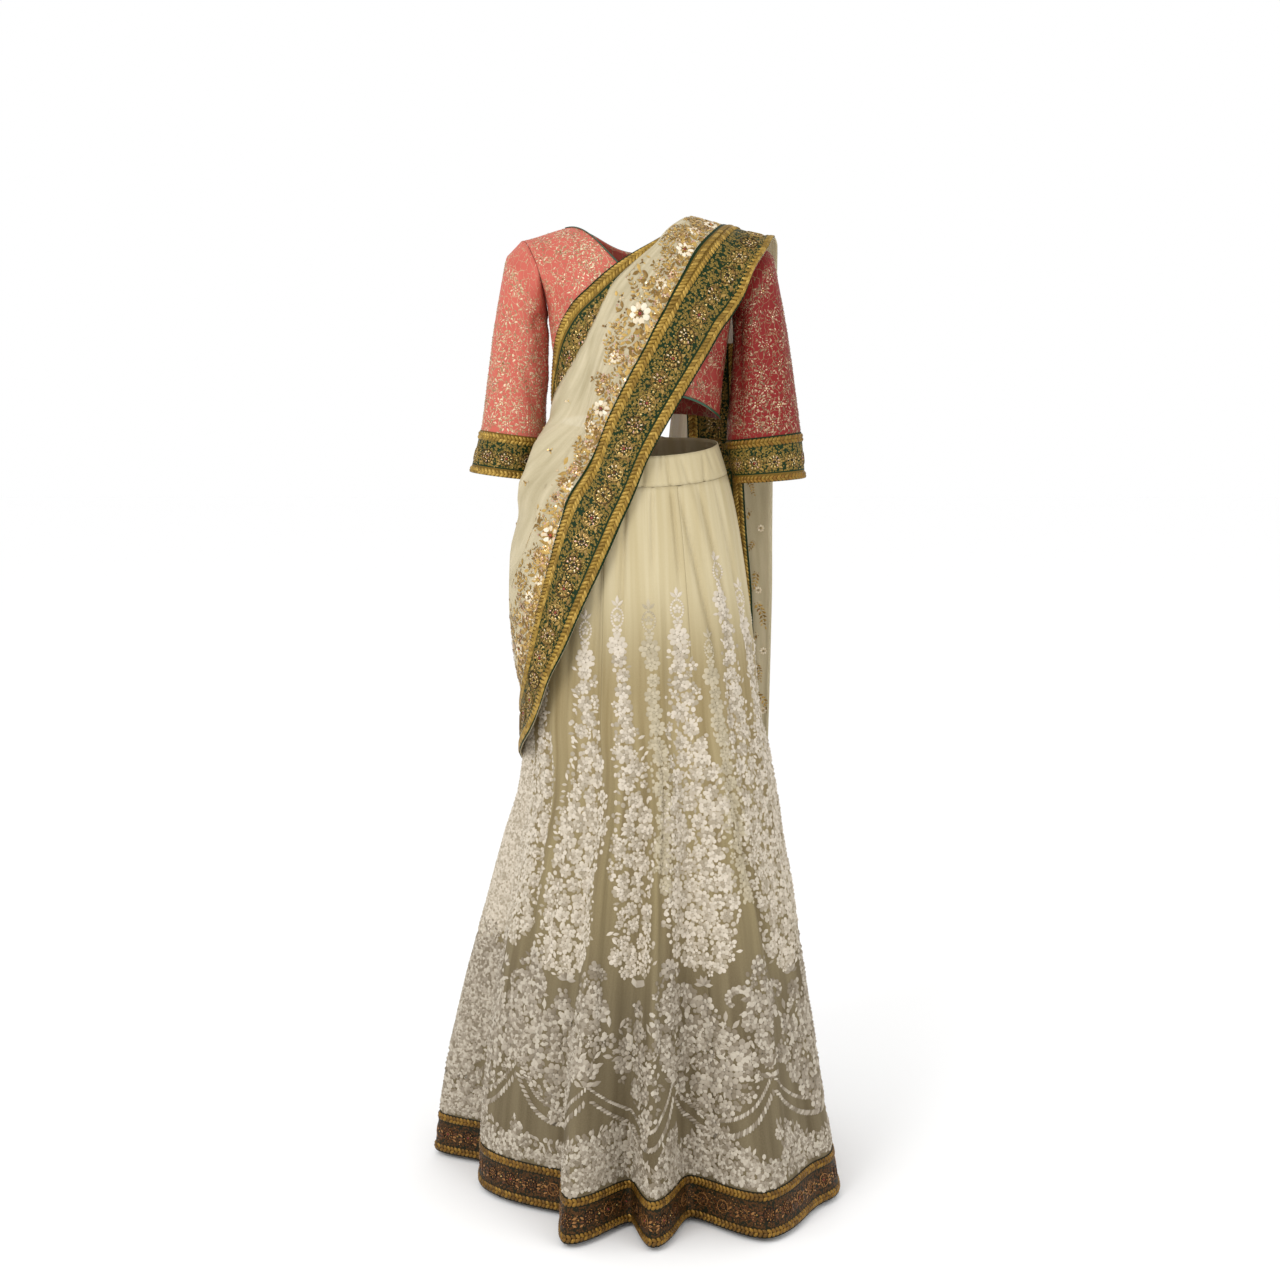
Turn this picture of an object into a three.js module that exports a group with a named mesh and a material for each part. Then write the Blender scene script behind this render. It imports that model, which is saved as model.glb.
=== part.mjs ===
/**
 * Net sari with its matching blouse, as it is worn: a blouse with elbow sleeves, a gored net skirt
 * and the pallu, the long end that goes round the hip, up the front and over the shoulder.
 * Millimetres, +Z up. The garment faces -Y, and the origin is the middle of the shoulder line.
 * Every piece is a thin wall: a surface worked out from named sizes, given a thickness.
 * A turn is an angle round the figure in degrees: 0 is the front, 90 is +X and 180 is the back.
 */
import * as THREE from 'three';

// Cloth and trims: how thick each is, and the gap between pieces that touch.
const BLOUSE_CLOTH = 1.5;
const NET_CLOTH = 1.2;
const SKIRT_CLOTH = 1.5;
const BAND = 1.2;
const BRAID = 2.4;
const PIPING = 1.2;
const SEAM = 0.3;
const TRIM_GAP = 0.6;           // a braid or a band stands this clear of the facets under it

// The general figure that the blouse and the pallu go round.
const SHOULDER_RIDGE = 97;      // height coordinate of the shoulder line
const CHEST = -110;             // where the chest starts to curve back to the shoulder
const SHOULDER_ARC = (SHOULDER_RIDGE - CHEST) / (Math.PI / 2);
const ROUNDNESS = 2.4;          // exponent of the cross-section, 2 being an ellipse
const SHOULDER_BACK = 8;        // how far the shoulder line lies behind the origin
const SHOULDER_ROUND = 1.2;     // how squarely the cloth turns over the shoulder
const SHOULDER_LINE = [
  { x: 0, z: 34 },
  { x: 60, z: 33 },
  { x: 116, z: 22 },
  { x: 178, z: 4 },
  { x: 214, z: -2 },
];

// Blouse: half width, front and back depth at each height.
const BLOUSE = {
  raise: 0,
  fullness: 0.6,
  fullFrom: CHEST,
  fullTo: CHEST + 80,
  rows: [
    { height: -275, half: 124, sway: 0, front: 92, back: 85 },
    { height: -240, half: 126, sway: 0, front: 97, back: 88 },
    { height: -190, half: 131, sway: 0, front: 109, back: 92 },
    { height: -150, half: 136, sway: 0, front: 116, back: 95 },
    { height: CHEST, half: 141, sway: 0, front: 110, back: 98 },
    { height: -44, half: 152, sway: 0, front: 110, back: 98 },
    { height: 22, half: 168, sway: 0, front: 110, back: 98 },
    { height: SHOULDER_RIDGE, half: 182, sway: 0, front: 110, back: 98 },
  ],
};
const NECK_TURN = 39.6;         // where the neckline meets the shoulder seam
const NECK_FRONT = { low: -60, curve: 1.7 };
const NECK_BACK = { low: -10, curve: 2.2 };
const BLOUSE_HEM = { front: -232, back: -262, side: -270 };
const PIPING_WIDTH = 3.5;
const SIDE_TURN = 89.999;       // the side seam, just short of a quarter turn

// Pallu: the form that the net bridges over, clear of the blouse, the skirt and the sleeve.
const PALLU = {
  raise: 3.2,
  fullness: 0.78,
  fullFrom: -200,
  fullTo: -40,
  rows: [
    { height: -860, half: 200, sway: 0, front: 192, back: 192 },
    { height: -793, half: 185, sway: 0, front: 176, back: 182 },
    { height: -707, half: 183, sway: 0, front: 162, back: 168 },
    { height: -643, half: 193, sway: 0, front: 154, back: 160 },
    { height: -555, half: 201, sway: 0, front: 143, back: 152 },
    { height: -484, half: 199, sway: 0, front: 132, back: 142 },
    { height: -420, half: 181, sway: 14, front: 122, back: 128 },
    { height: -391, half: 163, sway: 38, front: 118, back: 120 },
    { height: -365, half: 145, sway: 52, front: 114, back: 110 },
    { height: -328, half: 132, sway: 48, front: 110, back: 98 },
    { height: -305, half: 131, sway: 40, front: 109, back: 94 },
    { height: -270, half: 133, sway: 8, front: 110, back: 93 },
    { height: -180, half: 140, sway: 0, front: 117, back: 97 },
    { height: -150, half: 144, sway: 0, front: 120, back: 100 },
    { height: CHEST, half: 150, sway: 0, front: 115, back: 103 },
    { height: -44, half: 172, sway: 0, front: 116, back: 104 },
    { height: 22, half: 198, sway: 0, front: 116, back: 104 },
    { height: SHOULDER_RIDGE, half: 212, sway: 0, front: 116, back: 104 },
  ],
};
const SWAY_TURN = -58;          // where the net bulges forward past the sleeve
const SWAY_SPREAD = 34;
const FRONT_LIFT = 6;           // the front layer lies this far out from the pallu's form

// The front stretch: its folded edge, the inner edge of its border and its free lower edge.
const PALLU_FRONT = [
  { foldTurn: -92, fold: -268, bandTurn: -86, band: -712, edgeTurn: -88, edge: -800 },
  { foldTurn: -80, fold: -244, bandTurn: -66, band: -658, edgeTurn: -64, edge: -748 },
  { foldTurn: -66, fold: -222, bandTurn: -55, band: -604, edgeTurn: -49, edge: -679 },
  { foldTurn: -52, fold: -196, bandTurn: -48, band: -545, edgeTurn: -34, edge: -611 },
  { foldTurn: -41, fold: -169, bandTurn: -42, band: -478, edgeTurn: -21, edge: -524 },
  { foldTurn: -34, fold: -147, bandTurn: -38, band: -421, edgeTurn: -14, edge: -472 },
  { foldTurn: -28, fold: -125, bandTurn: -34, band: -365, edgeTurn: -7, edge: -412 },
  { foldTurn: -21, fold: -96, bandTurn: -26, band: -296, edgeTurn: 4, edge: -337 },
  { foldTurn: -14, fold: -70, bandTurn: -12, band: -227, edgeTurn: 19, edge: -270 },
  { foldTurn: -5, fold: -46, bandTurn: 4, band: -155, edgeTurn: 36, edge: -203 },
  { foldTurn: 4, fold: -20, bandTurn: 18, band: -83, edgeTurn: 54, edge: -139 },
  { foldTurn: 8, fold: -4, bandTurn: 23, band: -53, edgeTurn: 67, edge: -108 },
  { foldTurn: 11, fold: 18, bandTurn: 27, band: -20, edgeTurn: 79, edge: -68 },
  { foldTurn: 17, fold: 54, bandTurn: 34, band: 36, edgeTurn: 80, edge: 12 },
  { foldTurn: 21, fold: 97, bandTurn: 39, band: 97, edgeTurn: 79, edge: 97 },
];
// The upper edge, folded under the front stretch, from the hip to the shoulder.
const PALLU_UNDER = [
  { edgeTurn: -86, edge: -246, innerTurn: -80, inner: -322 },
  { edgeTurn: -71, edge: -180, innerTurn: -52, inner: -262 },
  { edgeTurn: -58, edge: -136, innerTurn: -38, inner: -212 },
  { edgeTurn: -43, edge: -100, innerTurn: -24, inner: -166 },
  { edgeTurn: -27, edge: -73, innerTurn: -8, inner: -128 },
  { edgeTurn: -11, edge: -41, innerTurn: 6, inner: -90 },
  { edgeTurn: 5, edge: -7, innerTurn: 19, inner: -48 },
  { edgeTurn: 15, edge: 26, innerTurn: 28, inner: 0 },
  { edgeTurn: 21, edge: 62, innerTurn: 33, inner: 52 },
  { edgeTurn: 24, edge: 97, innerTurn: 36, inner: 97 },
];
// The stretch round the hip and the back, up to the corner that is tucked in at the waistband.
const PALLU_HIP = [
  { upperTurn: -92, upper: -268, bandTurn: -86, band: -712, edgeTurn: -88, edge: -800 },
  { upperTurn: -112, upper: -276, bandTurn: -110, band: -744, edgeTurn: -110, edge: -832 },
  { upperTurn: -138, upper: -284, bandTurn: -138, band: -746, edgeTurn: -138, edge: -834 },
  { upperTurn: -164, upper: -290, bandTurn: -164, band: -700, edgeTurn: -164, edge: -786 },
  { upperTurn: -188, upper: -296, bandTurn: -186, band: -618, edgeTurn: -186, edge: -702 },
  { upperTurn: -208, upper: -306, bandTurn: -206, band: -522, edgeTurn: -206, edge: -602 },
];
const UPPER_BORDER = 0.19;      // share of the hip stretch's height that its upper border takes
const TUCK = { from: 0.6, reach: 0.5 };  // where along the hip, and how far down, it is tucked in

// The fall down the back: the form it hangs on, and its two edges at each height.
const FALL = {
  raise: 3.2,
  fullness: 0.78,
  fullFrom: -200,
  fullTo: -40,
  rows: [
    { height: -1040, half: 350, sway: 0, front: 116, back: 240 },
    { height: -812, half: 312, sway: 0, front: 116, back: 214 },
    { height: -700, half: 298, sway: 0, front: 116, back: 200 },
    { height: -568, half: 284, sway: 0, front: 116, back: 184 },
    { height: -450, half: 272, sway: 0, front: 116, back: 167 },
    { height: -300, half: 266, sway: 0, front: 116, back: 142 },
    { height: CHEST, half: 260, sway: 0, front: 116, back: 122 },
    { height: -44, half: 250, sway: 0, front: 116, back: 118 },
    { height: 22, half: 236, sway: 0, front: 116, back: 112 },
    { height: SHOULDER_RIDGE, half: 212, sway: 0, front: 116, back: 104 },
  ],
};
const FALL_EDGES = [
  { height: -1030, inner: -24, turned: 108, outer: 206 },
  { height: -812, inner: -4, turned: 108, outer: 215 },
  { height: -568, inner: 20, turned: 99, outer: 216 },
  { height: -450, inner: 34, turned: 88, outer: 214 },
  { height: -300, inner: 48, turned: 78, outer: 213 },
  { height: CHEST, inner: 66, turned: 72, outer: 219 },
  { height: 22, inner: 74, turned: 72, outer: 216 },
  { height: SHOULDER_RIDGE, inner: 76, turned: 72, outer: 208 },
];
const FALL_END = -1030;
const FALL_PLEATS = { count: 2, depth: 5 };
const FALL_SHARES = [0, 0.15, 0.3, 0.44, 0.549, 0.71, 0.876, 1];
const FALL_BORDER = 88;         // width of each border on the fall
const TURNED_TOP = -150;        // the folded-in layer of the fall shows from here down
const TURNED_END = -1000;
const TURNED_GAP = 9;           // between the two layers, closing to SEAM at the fold
const SHOULDER_BORDER = { inner: 0.44, outer: 0.985, low: -70 };

// A border is a braid, a band and a braid: shares of its width.
const BORDER_BRAID = 0.2;
const BORDER_GAP = 0.012;       // left clear at each edge of a strip

// Skirt: the form at the bottom of its folds, with its middle to one side where it sways.
const WAIST_TOP = -300;
const WAIST_DIP = 25;           // the waistband is this much lower at the front
const WAISTBAND = 46;
const HEM = -1472;
const HEM_BORDER = 66;
const FOLD_TOP = -470;          // the folds start here and grow to the hem
const FOLD_GROWTH = 1.4;
const SKIRT = [
  { height: HEM, half: 285, centre: -10, front: 262, back: 250 },
  { height: -1357, half: 275, centre: -11, front: 251, back: 238 },
  { height: -1187, half: 253, centre: -5, front: 232, back: 216 },
  { height: -1019, half: 225, centre: 3, front: 210, back: 194 },
  { height: -936, half: 209, centre: 6, front: 195, back: 183 },
  { height: -854, half: 194, centre: 12, front: 180, back: 172 },
  { height: -793, half: 187, centre: 11, front: 170, back: 166 },
  { height: -727, half: 181, centre: 6, front: 160, back: 159 },
  { height: -600, half: 173, centre: 5, front: 142, back: 148 },
  { height: -523, half: 166, centre: 3, front: 132, back: 139 },
  { height: -450, half: 157, centre: 1, front: 121, back: 124 },
  { height: -400, half: 148, centre: 0, front: 113, back: 112 },
  { height: -350, half: 135, centre: 0, front: 103, back: 97 },
  { height: WAIST_TOP, half: 119, centre: 0, front: 92, back: 88 },
];
// A fold is a valley and the crest after it: their turns, how far each reaches out at the hem,
// and how far the crest leans over the valley.
const FOLDS = [
  { valley: -112, low: -15, crest: -93, high: 45, lean: 0 },
  { valley: -80, low: -35, crest: -57, high: -6, lean: 0 },
  { valley: -25, low: -20, crest: -15, high: 76, lean: 6 },
  { valley: -1, low: -7, crest: 6, high: 76, lean: 8 },
  { valley: 18, low: -10, crest: 33, high: 100, lean: 0 },
  { valley: 54, low: 70, crest: 62, high: 76, lean: 6 },
  { valley: 86, low: 22, crest: 100, high: 40, lean: 0 },
  { valley: 117, low: -8, crest: 128, high: 45, lean: 6 },
  { valley: 143, low: -14, crest: 152, high: 52, lean: 0 },
  { valley: 167, low: -10, crest: 177, high: 55, lean: -6 },
  { valley: 191, low: -12, crest: 201, high: 46, lean: 0 },
  { valley: 215, low: -14, crest: 228, high: 42, lean: 6 },
];
const GORES = 8;
const GORE_START = -111;        // turn of the first gore's seam

// Sleeves: the outer and the inner point of each section, its half depth and its middle in Y.
const SLEEVE_RIGHT = [
  { outerX: 206, outerZ: -22, innerX: 144, innerZ: -119, depth: 56, y: 0 },
  { outerX: 218, outerZ: -80, innerX: 145, innerZ: -142, depth: 54, y: 2 },
  { outerX: 230, outerZ: -142, innerX: 144, innerZ: -176, depth: 52, y: 5 },
  { outerX: 241, outerZ: -213, innerX: 141, innerZ: -230, depth: 51, y: 8 },
  { outerX: 252, outerZ: -290, innerX: 137, innerZ: -303, depth: 51, y: 10 },
  { outerX: 259, outerZ: -362, innerX: 150, innerZ: -370, depth: 50, y: 12 },
];
const SLEEVE_LEFT = [
  { outerX: 206, outerZ: -22, innerX: 144, innerZ: -119, depth: 56, y: 0 },
  { outerX: 218, outerZ: -80, innerX: 147, innerZ: -142, depth: 54, y: 3 },
  { outerX: 229, outerZ: -142, innerX: 148, innerZ: -176, depth: 52, y: 8 },
  { outerX: 239, outerZ: -213, innerX: 148, innerZ: -230, depth: 51, y: 13 },
  { outerX: 250, outerZ: -287, innerX: 149, innerZ: -300, depth: 50, y: 17 },
  { outerX: 267, outerZ: -353, innerX: 160, innerZ: -366, depth: 49, y: 20 },
];
const ARMHOLE_GAP = 1;

// How finely each surface is divided.
const SLEEVE_AROUND = 12;
const SKIRT_AROUND = 8;         // columns in a gore
const SKIRT_LEVELS = [-1240, -1010, -800, -600];
const WAIST_AROUND = 24;
const BLOUSE_TURNS = [-90, -74, -56, -NECK_TURN, -30, -15, 0, 15, 30, NECK_TURN, 56, 74, 90];
const BELOW_CHEST = 3;          // rows of a blouse panel between the hem piping and the chest
const ABOVE_CHEST = 4;          // and from there to the neck piping
const PALLU_STEPS = 19;
const UNDER_STEPS = 12;
const HIP_STEPS = 8;

const finish = (color, roughness, metalness = 0) =>
  new THREE.MeshStandardMaterial({ color, roughness, metalness });
const BROCADE = finish('#c9554b', 0.7);
const PIPING_SATIN = finish('#1f4a33', 0.6);
const BORDER_BAND = finish('#6b5a2a', 0.55);
const HEM_BAND = finish('#4a3a1e', 0.6);
const GOLD_BRAID = finish('#c9982f', 0.4, 0.6);
const SKIRT_NET = finish('#cfc48f', 0.8);
const PALLU_NET = finish('#d8cfa0', 0.8);

const part = new THREE.Group();
part.name = 'net_sari';

/** A value of a table's column at a height between its rows, smooth and with no overshoot. */
function smooth(rows, key, column, at) {
  const sorted = [...rows].sort((a, b) => a[key] - b[key]);
  const last = sorted.length - 1;
  const place = THREE.MathUtils.clamp(at, sorted[0][key], sorted[last][key]);
  const step = (i) => sorted[i + 1][key] - sorted[i][key];
  const slope = (i) => (sorted[i + 1][column] - sorted[i][column]) / step(i);
  const tangent = (i) => {
    if (i === 0 || i === last) return slope(Math.min(i, last - 1));
    const [before, after] = [slope(i - 1), slope(i)];
    return before * after <= 0 ? 0 : (2 * before * after) / (before + after);
  };
  let i = 0;
  while (i < last - 1 && place > sorted[i + 1][key]) i += 1;
  const t = (place - sorted[i][key]) / step(i);
  return (
    (2 * t ** 3 - 3 * t ** 2 + 1) * sorted[i][column]
    + (t ** 3 - 2 * t ** 2 + t) * step(i) * tangent(i)
    + (3 * t ** 2 - 2 * t ** 3) * sorted[i + 1][column]
    + (t ** 3 - t ** 2) * step(i) * tangent(i + 1)
  );
}

/** Catmull-Rom value of a column at a place 0 to 1 along the rows, for edges that turn round. */
function along(rows, column, place) {
  const last = rows.length - 1;
  const x = THREE.MathUtils.clamp(place, 0, 1) * last;
  const i = Math.min(Math.floor(x), last - 1);
  const t = x - i;
  const at = (k) => rows[THREE.MathUtils.clamp(k, 0, last)][column];
  const [p0, p1, p2, p3] = [at(i - 1), at(i), at(i + 1), at(i + 2)];
  return 0.5 * (2 * p1 + (p2 - p0) * t + (2 * p0 - 5 * p1 + 4 * p2 - p3) * t ** 2
    + (3 * p1 - p0 - 3 * p2 + p3) * t ** 3);
}

const NORMAL_STEP = 0.02;       // share of a column or a row that a slope is measured over
const ease = (t) => t * t * (3 - 2 * t);
const between = (count, from = 0, to = 1) =>
  Array.from({ length: count + 1 }, (_, i) => from + ((to - from) * i) / count);

/** A point on a form that goes round the figure and, above the chest, over the shoulder. */
function figure(form, turn, top) {
  const height = Math.min(top, SHOULDER_RIDGE);
  const angle = THREE.MathUtils.degToRad(turn);
  const value = (column) => smooth(form.rows, 'height', column, height);
  const bump = Math.max(0, 1 - ((turn - SWAY_TURN) / SWAY_SPREAD) ** 2) ** 2;
  const x = value('half') * Math.sin(angle) - value('sway') * bump;
  const across = Math.min(1, Math.abs(Math.sin(angle)));
  const side = (1 - across ** ROUNDNESS) ** (1 / ROUNDNESS);
  const share = THREE.MathUtils.clamp((height - form.fullFrom) / (form.fullTo - form.fullFrom), 0, 1);
  const full = side + (Math.max(side, form.fullness) - side) * ease(share);
  const depth = (Math.cos(angle) < 0 ? value('back') : -value('front')) * full;
  if (height <= CHEST) return new THREE.Vector3(x, depth, height);
  const climb = (height - CHEST) / SHOULDER_ARC;
  const ridge = smooth(SHOULDER_LINE, 'x', 'z', Math.abs(x)) + form.raise;
  const y = SHOULDER_BACK * (1 - Math.cos(climb)) + depth * Math.max(0, Math.cos(climb)) ** SHOULDER_ROUND;
  return new THREE.Vector3(x, y, CHEST + (ridge - CHEST) * Math.sin(climb));
}

/** The unit normal of a surface, on the side where u cross v points. */
function normalAt(surface, u, v, du, dv) {
  const alongU = surface(u + du, v).sub(surface(u - du, v));
  const alongV = surface(u, v + dv).sub(surface(u, v - dv));
  return alongU.cross(alongV).normalize();
}

/**
 * Adds a wall to the part: the surface at each u and v, moved out along its normal to lift,
 * and again by the thickness less. A ring joins its last column to its first.
 */
function wall(name, material, surface, us, vs, { lift = 0, thickness, ring = false, flip = false }) {
  const [du, dv] = [(us[1] - us[0]) * NORMAL_STEP, (vs[1] - vs[0]) * NORMAL_STEP];
  const positions = [];
  const side = flip ? -1 : 1;
  for (const offset of [lift, lift - thickness]) {
    for (const u of us) {
      for (const v of vs) {
        const normal = normalAt(surface, u, v, du, dv).multiplyScalar(offset * side);
        positions.push(...surface(u, v).add(normal).toArray());
      }
    }
  }
  const [columns, rows] = [us.length, vs.length];
  const id = (layer, i, j) => layer * columns * rows + (i % columns) * rows + j;
  const index = [];
  const quad = (a, b, c, d) => index.push(a, b, c, a, c, d);
  const lastColumn = ring ? columns : columns - 1;
  for (let i = 0; i < lastColumn; i += 1) {
    for (let j = 0; j < rows - 1; j += 1) {
      quad(id(0, i, j), id(0, i + 1, j), id(0, i + 1, j + 1), id(0, i, j + 1));
      quad(id(1, i, j), id(1, i, j + 1), id(1, i + 1, j + 1), id(1, i + 1, j));
    }
    quad(id(0, i, 0), id(1, i, 0), id(1, i + 1, 0), id(0, i + 1, 0));
    quad(id(0, i, rows - 1), id(0, i + 1, rows - 1), id(1, i + 1, rows - 1), id(1, i, rows - 1));
  }
  if (!ring) {
    for (let j = 0; j < rows - 1; j += 1) {
      quad(id(0, 0, j), id(0, 0, j + 1), id(1, 0, j + 1), id(1, 0, j));
      quad(id(0, lastColumn, j), id(1, lastColumn, j), id(1, lastColumn, j + 1), id(0, lastColumn, j + 1));
    }
  }
  if (flip) index.reverse();
  const geometry = new THREE.BufferGeometry();
  geometry.setAttribute('position', new THREE.Float32BufferAttribute(positions, 3));
  geometry.setIndex(index);
  const mesh = new THREE.Mesh(geometry, material);
  mesh.name = name;
  part.add(mesh);
}

/**
 * Adds a border across a surface from one v to another: a band between two braids. The part
 * that is hidden under another layer may be left out with only.
 */
function border(name, surface, us, [from, to], { lift = 0, flip, ring, band = BORDER_BAND, only }) {
  const width = to - from;
  const gap = BORDER_GAP * width;
  const strips = [
    { key: 'braid_outer', at: 0, end: BORDER_BRAID, material: GOLD_BRAID, thickness: BRAID },
    { key: 'band', at: BORDER_BRAID, end: 1 - BORDER_BRAID, material: band, thickness: BAND },
    { key: 'braid_inner', at: 1 - BORDER_BRAID, end: 1, material: GOLD_BRAID, thickness: BRAID },
  ];
  for (const { key, at, end, material, thickness } of strips) {
    if (only && !only.includes(key)) continue;
    const vs = [from + at * width + gap, from + end * width - gap].sort((a, b) => a - b);
    const options = { lift: lift + TRIM_GAP + thickness, thickness, flip, ring };
    wall(`${name}_${key}`, material, surface, us, vs, options);
  }
}

// ---- Blouse: two panels, pipings, sleeves and cuffs

const lift01 = (value) => THREE.MathUtils.clamp(value, 0, 1);
const blouseHem = (turn, middle) =>
  middle + (BLOUSE_HEM.side - middle) * Math.abs(Math.sin(THREE.MathUtils.degToRad(turn))) ** 3;
const neckline = (turn, { low, curve }) =>
  low + (SHOULDER_RIDGE - low) * lift01(Math.abs(turn) / NECK_TURN) ** curve;

/** A blouse panel as a surface of turn and share of height, or of turn and height in mm. */
function blousePanel({ back }) {
  const hem = (turn) => blouseHem(turn, back ? BLOUSE_HEM.back : BLOUSE_HEM.front);
  const top = (turn) => neckline(turn, back ? NECK_BACK : NECK_FRONT);
  const at = (turn, height) => {
    const inside = THREE.MathUtils.clamp(turn, -SIDE_TURN, SIDE_TURN);
    const point = figure(BLOUSE, back ? 180 - inside : inside, height);
    point.y += back ? SEAM / 2 : -SEAM / 2;
    return point;
  };
  return { hem, top, at };
}

/** Height of a row of a panel: the first and the last are as wide as the piping on them. */
function panelHeight(place, hem, top) {
  const low = BELOW_CHEST + 1;
  const high = low + ABOVE_CHEST;
  const heights = [hem, hem + PIPING_WIDTH, CHEST, top - PIPING_WIDTH, top];
  const places = [0, 1, low, high, high + 1];
  const i = Math.min(places.findLastIndex((start) => start <= Math.max(0, place)), 3);
  const share = lift01((place - places[i]) / (places[i + 1] - places[i]));
  return THREE.MathUtils.lerp(heights[i], heights[i + 1], share);
}

for (const back of [false, true]) {
  const name = back ? 'back' : 'front';
  const { hem, top, at } = blousePanel({ back });
  const panel = (turn, place) => at(turn, panelHeight(place, hem(turn), top(turn)));
  const last = BELOW_CHEST + ABOVE_CHEST + 2;
  const cloth = { thickness: BLOUSE_CLOTH, flip: back };
  wall(`blouse_${name}`, BROCADE, panel, BLOUSE_TURNS, between(last, 0, last), cloth);
  const trim = { lift: SEAM + PIPING, thickness: PIPING, flip: back };
  const neckTurns = BLOUSE_TURNS.filter((turn) => Math.abs(turn) <= NECK_TURN);
  wall(`blouse_neck_piping_${name}`, PIPING_SATIN, panel, neckTurns, [last - 1, last], trim);
  wall(`blouse_hem_piping_${name}`, PIPING_SATIN, panel, BLOUSE_TURNS, [0, 1], trim);
}

/** A sleeve as a surface of the angle round the arm and the section, 0 being the armhole. */
function sleeve(sections, mirror) {
  // The armhole runs along the straight edges between the rows of the blouse panels.
  const sideRows = between(ABOVE_CHEST + 1, BELOW_CHEST + 1, BELOW_CHEST + ABOVE_CHEST + 2)
    .map((place) => panelHeight(place, BLOUSE_HEM.side, SHOULDER_RIDGE));
  const armhole = (angle) => {
    const share = Math.min(angle, 360 - angle) / 180;
    const height = THREE.MathUtils.lerp(SHOULDER_RIDGE, CHEST, share);
    const i = Math.min(sideRows.findLastIndex((row) => row <= height), sideRows.length - 2);
    const edge = (row) => figure(BLOUSE, angle <= 180 ? SIDE_TURN : 180 - SIDE_TURN, row);
    const place = (height - sideRows[i]) / (sideRows[i + 1] - sideRows[i]);
    const point = edge(sideRows[i]).lerp(edge(sideRows[i + 1]), place);
    point.x += ARMHOLE_GAP;
    return point;
  };
  const section = (index, angle) => {
    if (index === 0) return armhole(angle);
    const { outerX, outerZ, innerX, innerZ, depth, y } = sections[index - 1];
    const turn = THREE.MathUtils.degToRad(angle);
    const share = (1 - Math.cos(turn)) / 2;
    const x = THREE.MathUtils.lerp(outerX, innerX, share);
    const z = THREE.MathUtils.lerp(outerZ, innerZ, share);
    return new THREE.Vector3(x, y - depth * Math.sin(turn), z);
  };
  return (around, place) => {
    const angle = ((around % 360) + 360) % 360;
    const index = Math.min(Math.floor(lift01(place / sections.length) * sections.length),
      sections.length - 1);
    const point = section(index, angle).lerp(section(index + 1, angle), place - index);
    point.x *= mirror;
    return point;
  };
}

for (const [side, sections, mirror] of [['right', SLEEVE_RIGHT, 1], ['left', SLEEVE_LEFT, -1]]) {
  const surface = sleeve(sections, mirror);
  const around = between(SLEEVE_AROUND, 0, 360).slice(0, -1);
  const ring = { thickness: BLOUSE_CLOTH, ring: true, flip: mirror < 0 };
  wall(`sleeve_${side}`, BROCADE, surface, around, between(sections.length, 0, sections.length), ring);
  const cuff = [sections.length, sections.length - 1];
  border(`cuff_${side}`, surface, around, cuff, { ring: true, flip: mirror < 0 });
}

// ---- Skirt: waistband, gores and hem border

/** The folds at a turn: how far the cloth reaches out at the hem and leans to one side. */
function fold(turn) {
  const [first] = FOLDS;
  const round = first.valley + ((((turn - first.valley) % 360) + 360) % 360);
  const index = FOLDS.findLastIndex(({ valley }) => valley <= round);
  const { valley, low, crest, high, lean } = FOLDS[index];
  const next = FOLDS[index + 1] ?? { ...first, valley: first.valley + 360 };
  const rising = round < crest;
  const share = rising ? (round - valley) / (crest - valley) : (next.valley - round) / (next.valley - crest);
  const foot = rising ? low : next.low;
  return { reach: foot + (high - foot) * ease(share), lean: lean * ease(share) };
}

const waistTop = (turn) =>
  WAIST_TOP - WAIST_DIP * ((1 + Math.cos(THREE.MathUtils.degToRad(turn))) / 2) ** 2;

function skirtForm(turn, z) {
  const angle = THREE.MathUtils.degToRad(turn);
  const value = (column) => smooth(SKIRT, 'height', column, z);
  const depth = value(Math.cos(angle) < 0 ? 'back' : 'front');
  const half = value('half');
  const growth = Math.max(0, (FOLD_TOP - z) / (FOLD_TOP - HEM)) ** FOLD_GROWTH;
  const { reach, lean } = fold(turn);
  const out = new THREE.Vector3(Math.sin(angle) * depth, -Math.cos(angle) * half, 0).normalize();
  const across = new THREE.Vector3(-out.y, out.x, 0);
  return new THREE.Vector3(value('centre') + half * Math.sin(angle), -depth * Math.cos(angle), z)
    .addScaledVector(out, reach * growth)
    .addScaledVector(across, -lean * growth);
}

const GORE_KNEE = -390;         // below this a level is a height; above, it follows the waistband
const GORE_TOP = WAIST_TOP - WAISTBAND - SEAM;
const goreLevel = (turn, level) => {
  if (level <= GORE_KNEE) return level;
  const top = waistTop(turn) - WAISTBAND - SEAM;
  return GORE_KNEE + ((level - GORE_KNEE) * (top - GORE_KNEE)) / (GORE_TOP - GORE_KNEE);
};

const GORE_SPAN = 360 / GORES;
for (let gore = 0; gore < GORES; gore += 1) {
  const surface = (share, level) => {
    const z = goreLevel(GORE_START + GORE_SPAN * (gore + share), level);
    const inset = THREE.MathUtils.radToDeg(SEAM / 2 / smooth(SKIRT, 'height', 'half', z));
    return skirtForm(GORE_START + GORE_SPAN * (gore + share) + inset * (1 - 2 * share), z);
  };
  const levels = [HEM, HEM + HEM_BORDER, ...SKIRT_LEVELS, GORE_KNEE, GORE_TOP];
  const cloth = { thickness: SKIRT_CLOTH };
  wall(`skirt_gore_${gore + 1}`, SKIRT_NET, surface, between(SKIRT_AROUND), levels, cloth);
}

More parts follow.
